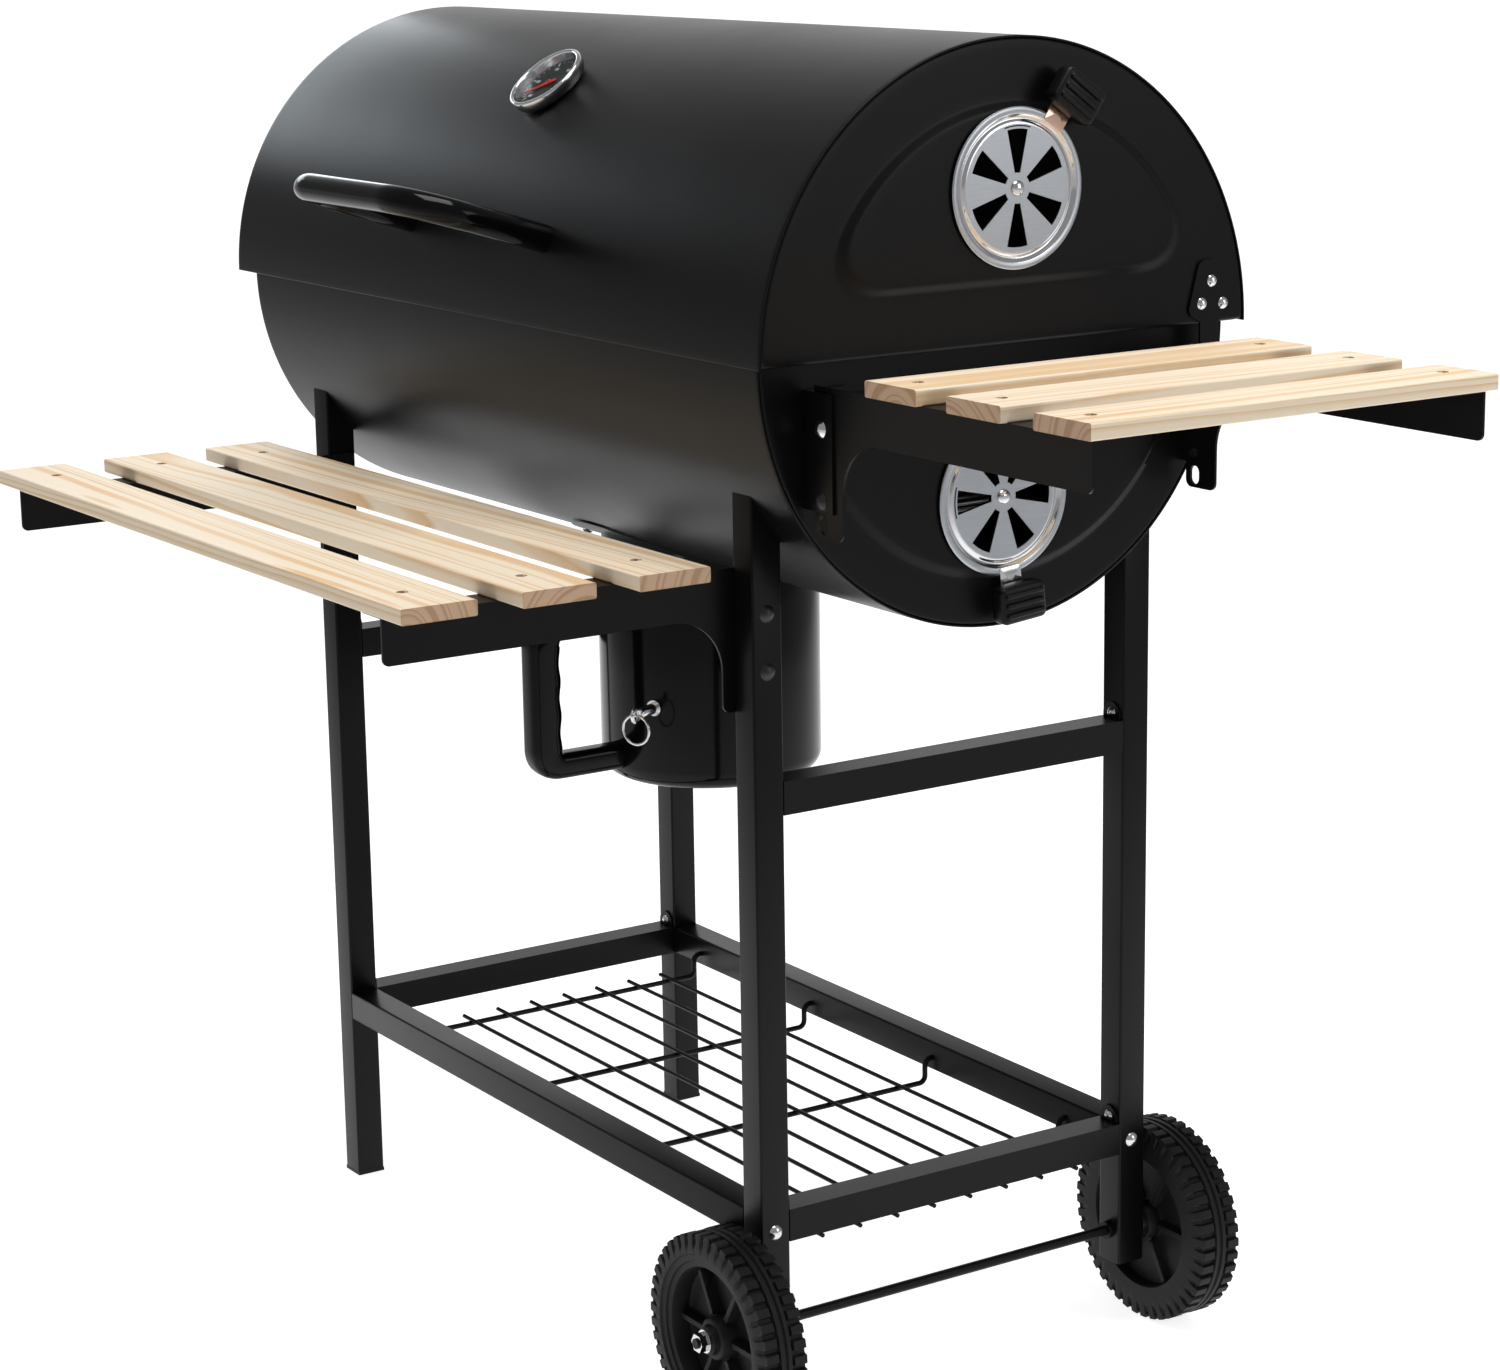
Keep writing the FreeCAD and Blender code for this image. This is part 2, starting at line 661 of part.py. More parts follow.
def bowl_shell():
    shell = common(half_pipe("bowl_radius", "bowl_half"), below("bowl_rim"))
    return cut(shell, rod("collar_radius - 4", 60, (0, 0, 590)), *flange_shanks())


def flange_shanks():
    holes = []
    for angle in (-70, -110):
        y, z = out(angle, "bowl_radius - 5")
        for side in (-1, 1):
            holes.append(rod("2 + hole_gap", 12, (72 * side, y, z), radial(angle)))
    return holes


def bowl_cap(side):
    vent = "-bowl_vent_drop" if side > 0 else None
    narrow = "bowl_panel_half" if side > 0 else None
    piece = cap(side, "bowl_half", "bowl_radius - wall - 0.1", below("bowl_rim"), -1, vent, 0, narrow)
    low, high = "%d * bowl_half - 5" % side, "%d * bowl_half + 5" % side
    holes = [bar_x("pin + run_gap", low, high, "pivot_y", "pivot_height")]
    if side > 0:
        holes += [bar_x("2 + hole_gap", low, high, "%d * 148" % depth, z)
                  for depth in (-1, 1) for z in (743, 770)]
    return cut(piece, *holes)


def vent_disc(x, rise, knob_angle, first):
    """A sheet disc with six windows and a strap that carries the knob."""
    z = "axis_height + (%s)" % rise
    disc = rod("vent_radius", "vent_sheet", (x, 0, z), ALONG_X)
    strap = DOC.addObject("Part::Box", "Strap")
    bind(strap, Length="knob_reach - vent_radius + 12", Width=14, Height="vent_sheet")
    turn = ALONG_X.multiply(FreeCAD.Rotation(V(0, 0, 1), knob_angle))
    inner = "(vent_radius - 4)"
    side = V(0, -7, 0)
    shift = FreeCAD.Rotation(V(0, 0, 1), knob_angle).multVec(side)
    along = math.radians(knob_angle)
    y = "%s * %.5f + %.4f" % (inner, math.cos(along), shift.x)
    rise_z = "%s + %s * %.5f + %.4f" % (z, inner, math.sin(along), shift.y)
    at(strap, (x, y, rise_z), turn)
    windows = sectors("%s - 5" % x, rise, first, 10)
    return cut(fuse(disc, strap), windows, bar_x("rivet + run_gap", x + " - 5", x + " + 5", 0, z))


def vent_knob(x, rise, knob_angle):
    """A black block with rounded edges on the end of the strap."""
    half = "knob_width / 2"
    near = "knob_reach - knob_depth / 2"
    far = "knob_reach + knob_depth / 2"
    corners = ((near, "-" + half), (far, "-" + half), (far, half), (near, half))
    rounds = [(3, corner) for corner in corners]
    turn = ALONG_X.multiply(FreeCAD.Rotation(V(0, 0, 1), knob_angle))
    return blank(corners, "knob_height", (x, 0, "axis_height + (%s)" % rise), turn, rounds)


def rivet(x, rise):
    return bolt(5.7, 3.2, number("rivet"), 9, (x, 0, "axis_height + (%s)" % rise), ALONG_X)


# ---- hinges ---------------------------------------------------------------------------------------

HINGE_BOLTS = ((184.7, 852), (175.3, 835.6), (195.7, 834.7))


def hinge_plate(side):
    """A teardrop plate on the lid's cap, with a strap down to the pin."""
    corners = ((172.5, 868), (188, 868), (205, 828), (192.2, 823), ("pivot_y + 9.2", "pivot_height - 9.2"),
               ("pivot_y - 9.2", "pivot_height - 9.2"), ("pivot_y - 9.2", 822), (162, 829))
    rounds = [(7, corners[0]), (7, corners[1]), (7, corners[2]), (9.1, corners[4]), (9.1, corners[5]),
              (6, corners[7])]
    x = "lid_half + 0.02" if side > 0 else "-lid_half - 0.02 - hinge_sheet"
    plate = blank(corners, "hinge_sheet", (x, 0, 0), ALONG_X, rounds)
    holes = [bar_x("2 + hole_gap", "%d * lid_half - 5" % side, "%d * lid_half + 5" % side, y, z)
             for y, z in HINGE_BOLTS]
    holes.append(bar_x("pin + run_gap", "%d * lid_half - 5" % side, "%d * lid_half + 5" % side,
                       "pivot_y", "pivot_height"))
    return cut(plate, *holes)


def hinge_bracket(side):
    """A stepped bracket from the bowl's cap out to an ear beside the lid's strap."""
    def slab(near, far, y, z, depth, height):
        low = "bowl_half + %s" % near if side > 0 else "-bowl_half - %s" % far
        return box((low, y, z), (far - near, depth, height))
    ear_out = 15.7
    foot = slab(0, 2, "pivot_y - 10", "pivot_height - 20", 22, 28)
    step = slab(0, ear_out, "pivot_y - 9", "pivot_height - 12", 18, 2)
    ear = slab(ear_out - 2, ear_out, "pivot_y - 9", "pivot_height - 12", 18, 20)
    holes = bar_x("pin + 0.02", "%d * bowl_half - 25" % side, "%d * bowl_half + 25" % side,
                  "pivot_y", "pivot_height")
    return cut(fuse(foot, step, ear), holes)


def hinge_pin(side):
    """A shouldered pin: head outside the strap, body through strap, ear and bracket foot."""
    turn = ALONG_X if side > 0 else TO_LEFT
    seat = "%d * (lid_half + hinge_sheet + 0.32)" % side
    return bolt(7, 3, number("pin"), 21, (seat, "pivot_y", "pivot_height"), turn)


def hinge_bolts():
    bolts = []
    for side, turn in ((-1, TO_LEFT), (1, ALONG_X)):
        x = "%d * (lid_half + hinge_sheet + 0.02)" % side
        bolts += [bolt(length=8, place=(x, y, z), turn=turn, **SMALL_BOLT) for y, z in HINGE_BOLTS]
    return bolts


# ---- lid fittings ---------------------------------------------------------------------------------


def lid_handle():
    """A tube bent to a wide U, its legs square to the lid: an annulus carried along the path."""
    body = DOC.addObject("PartDesign::Body", "HandleTube")
    path = new_sketch(body, "XZ_Plane", "Path")
    half = number("handle_half")
    reach = number("handle_reach")
    bend = number("handle_bend")
    right = math.pi / 2
    path.addGeometry(Part.LineSegment(V(-half, 0, 0), V(-half, reach - bend, 0)))
    circle = Part.Circle(V(bend - half, reach - bend, 0), V(0, 0, 1), bend)
    path.addGeometry(Part.ArcOfCircle(circle, right, 2 * right))
    path.addGeometry(Part.LineSegment(V(bend - half, reach, 0), V(half - bend, reach, 0)))
    circle = Part.Circle(V(half - bend, reach - bend, 0), V(0, 0, 1), bend)
    path.addGeometry(Part.ArcOfCircle(circle, 0, right))
    path.addGeometry(Part.LineSegment(V(half, reach - bend, 0), V(half, 0, 0)))
    for kind in (("Tangent", 0, 2, 1, 2), ("Tangent", 1, 1, 2, 1), ("Tangent", 2, 2, 3, 2),
                 ("Tangent", 3, 1, 4, 1), ("Vertical", 0), ("Horizontal", 2), ("Vertical", 4),
                 ("PointOnObject", 0, 1, -1), ("PointOnObject", 4, 2, -1), ("Equal", 1, 3)):
        path.addConstraint(Sketcher.Constraint(*kind))
    for kind, text in ((("Radius", 1, bend), "handle_bend"),
                       (("DistanceX", -1, 1, 0, 1, -half), "-handle_half"),
                       (("DistanceX", -1, 1, 4, 2, half), "handle_half"),
                       (("DistanceY", -1, 1, 2, 1, reach), "handle_reach")):
        row = path.addConstraint(Sketcher.Constraint(*kind))
        path.setExpression("Constraints[%d]" % row, full(text))
    section = new_sketch(body, "XY_Plane", "Section")
    for radius in ("handle_tube", "handle_bore"):
        size = number(radius)
        circle = section.addGeometry(Part.Circle(V(-half, 0, 0), V(0, 0, 1), size))
        row = section.addConstraint(Sketcher.Constraint("Radius", circle, size))
        section.setExpression("Constraints[%d]" % row, full(radius))
        section.addConstraint(Sketcher.Constraint("PointOnObject", circle, 3, -1))
        row = section.addConstraint(Sketcher.Constraint("DistanceX", -1, 1, circle, 3, -half))
        section.setExpression("Constraints[%d]" % row, full("-handle_half"))
    DOC.recompute()
    tube = body.newObject("PartDesign::AdditivePipe", "Tube")
    tube.Profile = section
    tube.Spine = (path, ["Edge%d" % i for i in range(1, 6)])
    y, z = out("handle_angle", "lid_radius")
    return at(body, (0, y, z), radial("handle_angle"))


def handle_plugs():
    """Threaded plugs in the two ends of the handle tube."""
    y, z = out("handle_angle", "lid_radius + 0.1")
    turn = radial("handle_angle")
    return [ring("handle_bore - 0.02", 2.5, 12, ("%d * handle_half" % side, y, z), turn)
            for side in (-1, 1)]


def handle_screws():
    y, z = out("handle_angle", "lid_radius - wall - 0.2")
    inward = radial("handle_angle").multiply(FreeCAD.Rotation(V(1, 0, 0), 180))
    return [bolt(5.5, 3, 2.48, 12, ("%d * handle_half" % side, y, z), inward) for side in (-1, 1)]


def gauge(kind):
    """One piece of the thermometer, all turned about the same radial line."""
    y, z = out("gauge_angle", "lid_radius + 0.1")
    place = (0, y, z)
    turn = radial("gauge_angle")
    if kind == "case":
        corners = (("stem + 0.05", 0), ("gauge_radius - 3", 0), ("gauge_radius", 4),
                   ("gauge_radius", "gauge_height"), ("gauge_radius - 2.5", "gauge_height"),
                   ("gauge_radius - 2.5", 3), ("stem + 0.05", 3))
        return turned(corners, place, turn)
    if kind == "dial":
        corners = ((0, 3), ("gauge_radius - 2.6", 3), ("gauge_radius - 2.6", 4), (1, 4), (1, 6.5), (0, 6.5))
        return turned(corners, place, turn)
    if kind == "glass":
        corners = ((0, 8), ("gauge_radius - 2.6", 8), ("gauge_radius - 2.6", 10), (0, 10))
        return turned(corners, place, turn)
    corners = ((0, -54), ("stem", -54), ("stem", 2.9), (0, 2.9))
    return turned(corners, place, turn, [(3, ("stem", -54))])


def gauge_needle():
    """A thin pointer with a hub that turns on the dial's pin."""
    y, z = out("gauge_angle", "lid_radius + 0.1")
    corners = ((-6, -1.4), (0, -2), (24, -0.5), (24, 0.5), (0, 2), (-6, 1.4))
    turn = radial("gauge_angle").multiply(FreeCAD.Rotation(V(0, 0, 1), 215))
    away = out("gauge_angle", "lid_radius + 0.1 + 4.6")
    pointer = blank(corners, 0.8, (0,) + away, turn)
    hub = rod(3, 1.6, (0,) + away, radial("gauge_angle"))
    hole = rod("1 + run_gap", 10, (0, y, z), radial("gauge_angle"))
    return cut(fuse(pointer, hub), hole)


def gauge_nut():
    """The nut that holds the case from inside the lid."""
    y, z = out("gauge_angle", "lid_radius - wall - 0.3")
    inward = radial("gauge_angle").multiply(FreeCAD.Rotation(V(1, 0, 0), 180))
    return hexagon(14, 5, number("stem") + 0.02, (0, y, z), inward)


# ---- shelves --------------------------------------------------------------------------------------

ARM = ((0, 0), ("arm_length", 0), ("arm_length", "-arm_depth"), ("lug_width", "-arm_depth"),
       ("lug_width", "-lug_depth"), (0, "-lug_depth"))


def arm_blank(place, turn):
    rounds = (("arm_round", ARM[3]), (5, ARM[2]), (6, ARM[4]), (6, ARM[5]))
    return blank(ARM, "plate", place, turn, rounds)


def hanging_slot(x, y, z, along):
    """An upright slot near the foot of a lug: two holes and the block between them."""
    bar = bar_x if along == "X" else bar_y
    start = x if along == "X" else y
    pair = [bar(5, "%s - 6" % start, "%s + 6" % start, y if along == "X" else x, level)
            for level in (z + 2, z - 2)]
    low = (start + " - 6", y + " - 5", z - 2) if along == "X" else (x + " - 5", start + " - 6", z - 2)
    size = (12, 10, 4) if along == "X" else (10, 12, 4)
    return fuse(*pair, box(low, size))


def front_arm(side):
    """A front arm: plate against the leg, flange turned inwards under the slats."""
    inner = "(leg_x - tube / 2)"
    turn = ALONG_X.multiply(FreeCAD.Rotation(V(0, 1, 0), 180))
    back = "-front_arm_tip + arm_length"
    x = "-%s" % inner if side < 0 else inner + " - plate"
    plate = at(arm_blank((0, 0, 0), turn), (x + " + plate", back, "front_arm_top"), turn)
    low_x = x if side < 0 else inner + " - flange"
    flange = box((low_x, "-front_arm_tip + 1", "front_arm_top - plate"), ("flange", "arm_length - 40", "plate"))
    holes = [bar_x("3 + hole_gap", "%d * leg_x - 20" % side, "%d * leg_x + 20" % side, "-leg_y", level)
             for level in (633, 590)]
    arm = cut(fuse(plate, flange), *holes)
    return cut(arm, *slat_shanks("front"), hanging_slot(x, "(%s) - 10" % back, 567, "X"))


def side_arm(depth):
    """A side arm: plate beside its mounting angle, flange turned inwards under the slats."""
    outer = "%d * side_arm_y" % depth
    low_y = outer + " - plate" if depth > 0 else outer
    back = "side_arm_tip - arm_length"
    plate = arm_blank((back, low_y + " + plate", "side_arm_top"), TO_FRONT)
    flange_y = outer + " - flange" if depth > 0 else outer
    flange = box((back + " + 39", flange_y, "side_arm_top - plate"), ("arm_length - 40", "flange", "plate"))
    holes = [bar_y("3 + hole_gap", outer + " - 10", outer + " + 10", 418, level) for level in (776, 725)]
    arm = cut(fuse(plate, flange), *holes)
    return cut(arm, *slat_shanks("side"), hanging_slot("(%s) + 10" % back, low_y, 708, "Y"))


def side_mount(depth):
    """An angle: one leg on the bowl's cap, the other standing out beside the arm."""
    y = "%d * side_arm_y" % depth
    far = "%d * (side_arm_y + plate)" % depth
    foot_low = "side_arm_y + plate - 35.5" if depth > 0 else "-side_arm_y - plate"
    foot = box(("bowl_half", foot_low, 717), ("plate", 35.5, 84))
    web = box(("bowl_half", y if depth > 0 else far, 717), (35, "plate", 84))
    holes = [bar_x("2 + hole_gap", "bowl_half - 5", "bowl_half + 5", "%d * 148" % depth, level)
             for level in (743, 770)]
    holes += [bar_y("3 + hole_gap", y + " - 10", y + " + 10", 418, level) for level in (776, 725)]
    return cut(fuse(foot, web), *holes)


def slat_places(shelf):
    """Middle lines of the three slats, and the screws that hold each one."""
    if shelf == "front":
        lines = ["-front_edge + slat_width / 2 + %d * slat_pitch" % i for i in range(3)]
        screws = ["%d * (leg_x - tube / 2 - screw_inset)" % side for side in (-1, 1)]
    else:
        lines = ["side_edge - slat_width / 2 - %d * side_pitch" % (2 - i) for i in range(3)]
        screws = ["%d * (side_arm_y - screw_inset)" % depth for depth in (-1, 1)]
    return lines, screws


def slat_shanks(shelf):
    """Bores for the slat screws, through slats and flanges."""
    lines, screws = slat_places(shelf)
    level = shelf + "_arm_top - 6"
    spots = [(s, line) if shelf == "front" else (line, s) for line in lines for s in screws]
    return [rod("2 + hole_gap", 30, spot + (level,)) for spot in spots]


def slat(shelf, index):
    """A planed board with eased long edges, bored and counterbored for its two screws."""
    lines, screws = slat_places(shelf)
    half = "slat_width / 2"
    corners = (("-" + half, 0), (half, 0), (half, "slat_thick"), ("-" + half, "slat_thick"))
    rounds = [("slat_round", corner) for corner in corners]
    top = shelf + "_arm_top"
    if shelf == "front":
        place, turn = ("-front_slat_half", lines[index], top), ALONG_X
        heads = [(screw, lines[index]) for screw in screws]
        length = "2 * front_slat_half"
    else:
        place, turn = (lines[index], "side_slat_half", top), TO_FRONT
        heads = [(lines[index], screw) for screw in screws]
        length = "2 * side_slat_half"
    board = blank(corners, length, place, turn, rounds)
    tools = []
    for spot in heads:
        tools.append(rod("2 + hole_gap", 30, spot + (top + " - 5",)))
        tools.append(rod(4.4, 10, spot + (top + " + slat_thick - 3",)))
    return cut(board, *tools)


def shelf_screws():
    screws = []
    for shelf in ("front", "side"):
        lines, ends = slat_places(shelf)
        level = shelf + "_arm_top + slat_thick - 3"
        spots = [(s, line) if shelf == "front" else (line, s) for line in lines for s in ends]
        screws += [bolt(4.1, 1.8, 1.98, 12, spot + (level,), UP) for spot in spots]
    return group(*screws)


def shelf_bolts():
    """Bolts that hold the arms to the front legs and to the side angles, and the angles to the bowl."""
    bolts = []
    for side, turn in ((-1, TO_LEFT), (1, ALONG_X)):
        x = "%d * (leg_x + tube / 2)" % side
        bolts += [bolt(length=30, place=(x, "-leg_y", level), turn=turn, **SHELF_BOLT)
                  for level in (633, 590)]
    for depth, turn in ((-1, TO_FRONT), (1, TO_BACK)):
        y = "%d * (side_arm_y + plate)" % depth
        bolts += [bolt(length=7, place=(418, y, level), turn=turn, **SHELF_BOLT) for level in (776, 725)]
        bolts += [bolt(length=7, place=("bowl_half + plate", "%d * 148" % depth, level),
                       turn=ALONG_X, **SMALL_BOLT) for level in (743, 770)]
    return bolts


# ---- ash pot --------------------------------------------------------------------------------------


def ash_collar():
    """A short tube under the bowl's opening, with a saddle flange against the bowl."""
    tube = ring("collar_radius", "collar_radius - wall", 160, (0, 0, "collar_low"))
    saddle = common(ring("collar_flange", "collar_radius - wall", 160, (0, 0, "collar_low")),
                    bar_x("bowl_radius + gap + wall", -200, 200, 0, "axis_height"))
    bore = bar_x("bowl_radius + gap", -201, 201, 0, "axis_height")
    return cut(fuse(tube, saddle), bore, *flange_shanks())


def flange_screws():
    screws = []
    for angle in (-70, -110):
        y, z = out(angle, "bowl_radius + gap + wall + 0.3")
        for side in (-1, 1):
            screws.append(bolt(length=6, place=(72 * side, y, z), turn=radial(angle), **SMALL_BOLT))
    return screws


def ash_pot():
    """A pressed pot with a rounded bottom edge and a hole for its latch pin."""
    height = "pot_top - pot_low"
    corners = ((0, 0), ("pot_radius", 0), ("pot_radius", height), ("pot_radius - 1.2", height),
               ("pot_radius - 1.2", 1.2), (0, 1.2))
    rounds = ((15, ("pot_radius", 0)), (13.8, ("pot_radius - 1.2", 1.2)))
    pot = turned(corners, (0, 0, "pot_low"), UP, rounds)
    hole = rod("4.5 + run_gap", 40, latch_point("pot_radius - 20"), latch_turn())
    return cut(pot, hole)


def latch_point(distance):
    x = "(%s) * sin(latch_angle)" % distance
    y = "-(%s) * cos(latch_angle)" % distance
    return x, y, "latch_height"


def latch_turn():
    """Own z outwards along the latch pin, own x level."""
    swing = FreeCAD.Rotation(V(0, 0, 1), number("latch_angle"))
    return swing.multiply(TO_FRONT)


def ash_latch_pin():
    """A round pin through the pot's wall towards the collar, with a boss and an eye outside."""
    shaft = rod(4.5, "pot_radius + 25 - collar_radius - 0.6", latch_point("collar_radius + 0.6"),
                latch_turn())
    stop = rod(6.5, 2, latch_point("pot_radius + 0.5"), latch_turn())
    eye = DOC.addObject("Part::Torus", "Eye")
    eye.Radius1 = 5.2
    eye.Radius2 = 1.8
    upright = latch_turn().multiply(FreeCAD.Rotation(V(0, 1, 0), 90))
    at(eye, latch_point("pot_radius + 30.5"), upright)
    return fuse(shaft, stop, eye)


def ash_latch_ring():
    """A ring hanging through the pin's eye."""
    loop = DOC.addObject("Part::Torus", "Loop")
    loop.Radius1 = 12
    loop.Radius2 = 1.1
    x, y, z = latch_point("pot_radius + 30.5")
    swing = FreeCAD.Rotation(V(0, 0, 1), number("latch_angle"))
    return at(loop, (x, y, z + " - 12"), swing.multiply(TO_FRONT))


def ash_pot_handle():
    """A moulded loop on the pot's front: upright grip between an upper and a lower arm."""
    grip, inner, wall = -176, -148, "-pot_radius - 0.1"
    corners = ((wall, 436), (grip, 436), (grip, 572), (wall, 572),
               (wall, 550), (inner, 550), (inner, 457), (wall, 457))
    rounds = [(22, corners[1]), (22, corners[2]), (9, corners[5]), (9, corners[6])]
    loop = blank(corners, 24, (-12, 0, 0), ALONG_X, rounds)
    edges = DOC.addObject("Part::Fillet", "SoftEdges")
    edges.Base = loop
    DOC.recompute()
    level = {number("barrel_x") - 12, number("barrel_x") + 12}
    keep = []
    for i, edge in enumerate(loop.Shape.Edges, 1):
        flat = all(any(abs(p.X - x) < 0.01 for x in level) for p in edge.Vertexes)
        same = max(p.X for p in edge.Vertexes) - min(p.X for p in edge.Vertexes) < 0.01
        away = max(p.Y for p in edge.Vertexes) < number("barrel_y - pot_radius - 1")
        if flat and same and away:
            keep.append((i, 5.0, 5.0))
    edges.Edges = keep
    return edges


# ---- grates ---------------------------------------------------------------------------------------


def grate(low_x, high_x, half, level, count):
    """Rods across the barrel, welded on two long rods that run along it."""
    rods = [bar_x("grate_wire", low_x, high_x, "%d * ((%s) - 8)" % (depth, half), level)
            for depth in (-1, 1)]
    step = (high_x - low_x - 5.0) / (count - 1)
    for i in range(count):
        rods.append(bar_y("grate_wire", "-(%s)" % half, half, low_x + 2.5 + i * step,
                          "(%s) + 2 * grate_wire - 0.5" % level))
    return fuse(*rods)


def grate_ledge(depth):
    """A shelf angle along the bowl's wall that the cooking grates lie on."""
    y = 183 if depth > 0 else -204
    lip = 183 if depth > 0 else -185
    flat = box((-390, y, "grate_height - grate_wire - 2"), (780, 21, 2))
    web = box((-390, lip, "grate_height - grate_wire - 12"), (780, 2, 11))
    return fuse(flat, web)


def bed_ledge(depth):
    """A bar along the bowl's wall that the charcoal grate lies on."""
    y = 134 if depth > 0 else -157
    return box((-390, y, "bed_height - grate_wire - 4"), (780, 23, 4))


def build_all():
    for side, side_name in SIDES:
        for depth, depth_name in DEPTHS:
            node("leg_%s_%s" % (depth_name, side_name), leg(side, depth))
        node("lower_%s_rail" % side_name, side_rail(side, "low_rail_top"))
        node("upper_%s_rail" % side_name, side_rail(side, "high_rail_top"))
        node("lid_end_" + side_name, lid_cap(side))
        node("bowl_end_" + side_name, bowl_cap(side))
        node("front_arm_" + side_name, front_arm(side))
    for depth, name in DEPTHS:
        node("lower_%s_rail" % name, long_rail(depth))
        node("wheel_" + name, wheel(depth))
        node("side_arm_" + name, side_arm(depth))
    node("hinge_plates", group(*[hinge_plate(side) for side in (-1, 1)]))
    node("hinge_brackets", group(*[hinge_bracket(side) for side in (-1, 1)]))
    node("hinge_pins", group(*[hinge_pin(side) for side in (-1, 1)]))
    node("side_mounts", group(*[side_mount(depth) for depth in (-1, 1)]))
    ledges = [make(depth) for make in (grate_ledge, bed_ledge) for depth in (-1, 1)]
    node("grate_ledges", group(*ledges))
    node("foot_caps", foot_caps())
    node("wire_shelf", wire_shelf())
    node("axle", axle())
    node("wheel_nuts", group(*axle_nuts(), *axle_washers()))
    node("cart_bolts", group(*frame_bolts(), *shelf_bolts(), *flange_screws()))
    node("bowl_shell", bowl_shell())
    node("lid_shell", lid_shell())
    lid_face = "lid_half + panel_depth + 0.3"
    bowl_face = "bowl_half + panel_depth + 0.3"
    for name, face, rise, angle, first in (("upper", lid_face, "lid_vent_rise", 54.6, 30),
                                           ("lower", bowl_face, "-bowl_vent_drop", -84.5, 0)):
        node(name + "_vent_disc", vent_disc(face, rise, angle, first))
        node(name + "_vent_knob", vent_knob(face + " + vent_sheet", rise, angle))
        node(name + "_vent_rivet", rivet(face + " + vent_sheet + 0.3", rise))
    node("lid_handle", lid_handle())
    node("lid_fixings", group(*handle_plugs(), *handle_screws(), *hinge_bolts()))
    for kind in ("case", "dial", "glass"):
        node("thermometer_" + kind, gauge(kind))
    node("thermometer_probe", group(gauge("probe"), gauge_nut()))
    node("thermometer_needle", gauge_needle())
    for i, name in enumerate(("front", "middle", "rear")):
        node("front_slat_" + name, slat("front", i))
    for i, name in enumerate(("inner", "middle", "outer")):
        node("side_slat_" + name, slat("side", i))
    node("shelf_screws", shelf_screws())
    node("ash_collar", ash_collar())
    node("ash_pot", ash_pot())
    node("ash_latch_pin", ash_latch_pin())
    node("ash_latch_ring", ash_latch_ring())
    node("ash_pot_handle", ash_pot_handle())
    node("cooking_grate_left", grate(-385, -3, "grate_half", "grate_height", 26))
    node("cooking_grate_right", grate(3, 385, "grate_half", "grate_height", 26))
    node("charcoal_grate", grate(-380, 380, "bed_half", "bed_height", 39))


def check_and_write():
    DOC.recompute()
    bad = [thing.Label for thing in DOC.Objects if {"Invalid", "Error"} & set(thing.State)]
    bad += [thing.Label for thing in NODES if thing.Shape.isNull() or not thing.Shape.isValid()]
    if bad:
        raise RuntimeError("not built: " + ", ".join(bad))
    os.makedirs("parts", exist_ok=True)
    whole = FreeCAD.BoundBox()
    for thing in NODES:
        thing.Shape.exportStep("parts/%s.step" % thing.Label)
        whole.add(thing.Shape.BoundBox)
        print("%-22s %10.1f mm3  %d" % (thing.Label, thing.Shape.Volume, len(thing.Shape.Solids)))
    print(len(NODES), "nodes", whole)


build_all()
check_and_write()
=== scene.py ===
import json
import math

import bmesh
import bpy
import numpy as np
from bpy.props import FloatProperty, FloatVectorProperty, IntProperty, PointerProperty
from mathutils import Matrix, Vector


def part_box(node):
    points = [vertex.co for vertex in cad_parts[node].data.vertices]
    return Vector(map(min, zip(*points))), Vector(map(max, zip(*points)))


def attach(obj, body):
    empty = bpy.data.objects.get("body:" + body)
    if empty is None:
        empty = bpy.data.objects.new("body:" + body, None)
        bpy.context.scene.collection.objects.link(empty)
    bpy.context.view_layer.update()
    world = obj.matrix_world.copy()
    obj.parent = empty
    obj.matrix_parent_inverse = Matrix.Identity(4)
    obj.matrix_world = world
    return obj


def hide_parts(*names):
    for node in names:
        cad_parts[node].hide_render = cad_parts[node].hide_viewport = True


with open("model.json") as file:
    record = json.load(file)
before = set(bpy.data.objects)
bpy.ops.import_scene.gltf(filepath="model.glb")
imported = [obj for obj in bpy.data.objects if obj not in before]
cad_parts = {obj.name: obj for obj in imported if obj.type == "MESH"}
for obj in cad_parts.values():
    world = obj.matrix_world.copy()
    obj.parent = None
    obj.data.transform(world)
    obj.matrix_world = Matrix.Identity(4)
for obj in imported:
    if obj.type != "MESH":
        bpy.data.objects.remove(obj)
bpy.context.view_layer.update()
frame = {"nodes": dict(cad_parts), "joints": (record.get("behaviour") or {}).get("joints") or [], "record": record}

bl_info = {
    "name": "Barrel Grill Looks",
    "version": (1, 0, 0),
    "blender": (4, 5, 0),
    "location": "View3D > Sidebar > Grill",
    "description": "Visible pieces and finishes of a barrel charcoal grill round its CAD frame",
    "category": "Object",
}

MM = 0.001


def span(name):
    """Lowest and highest corner of a CAD node, as arrays."""
    low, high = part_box(name)
    return np.array(low), np.array(high)


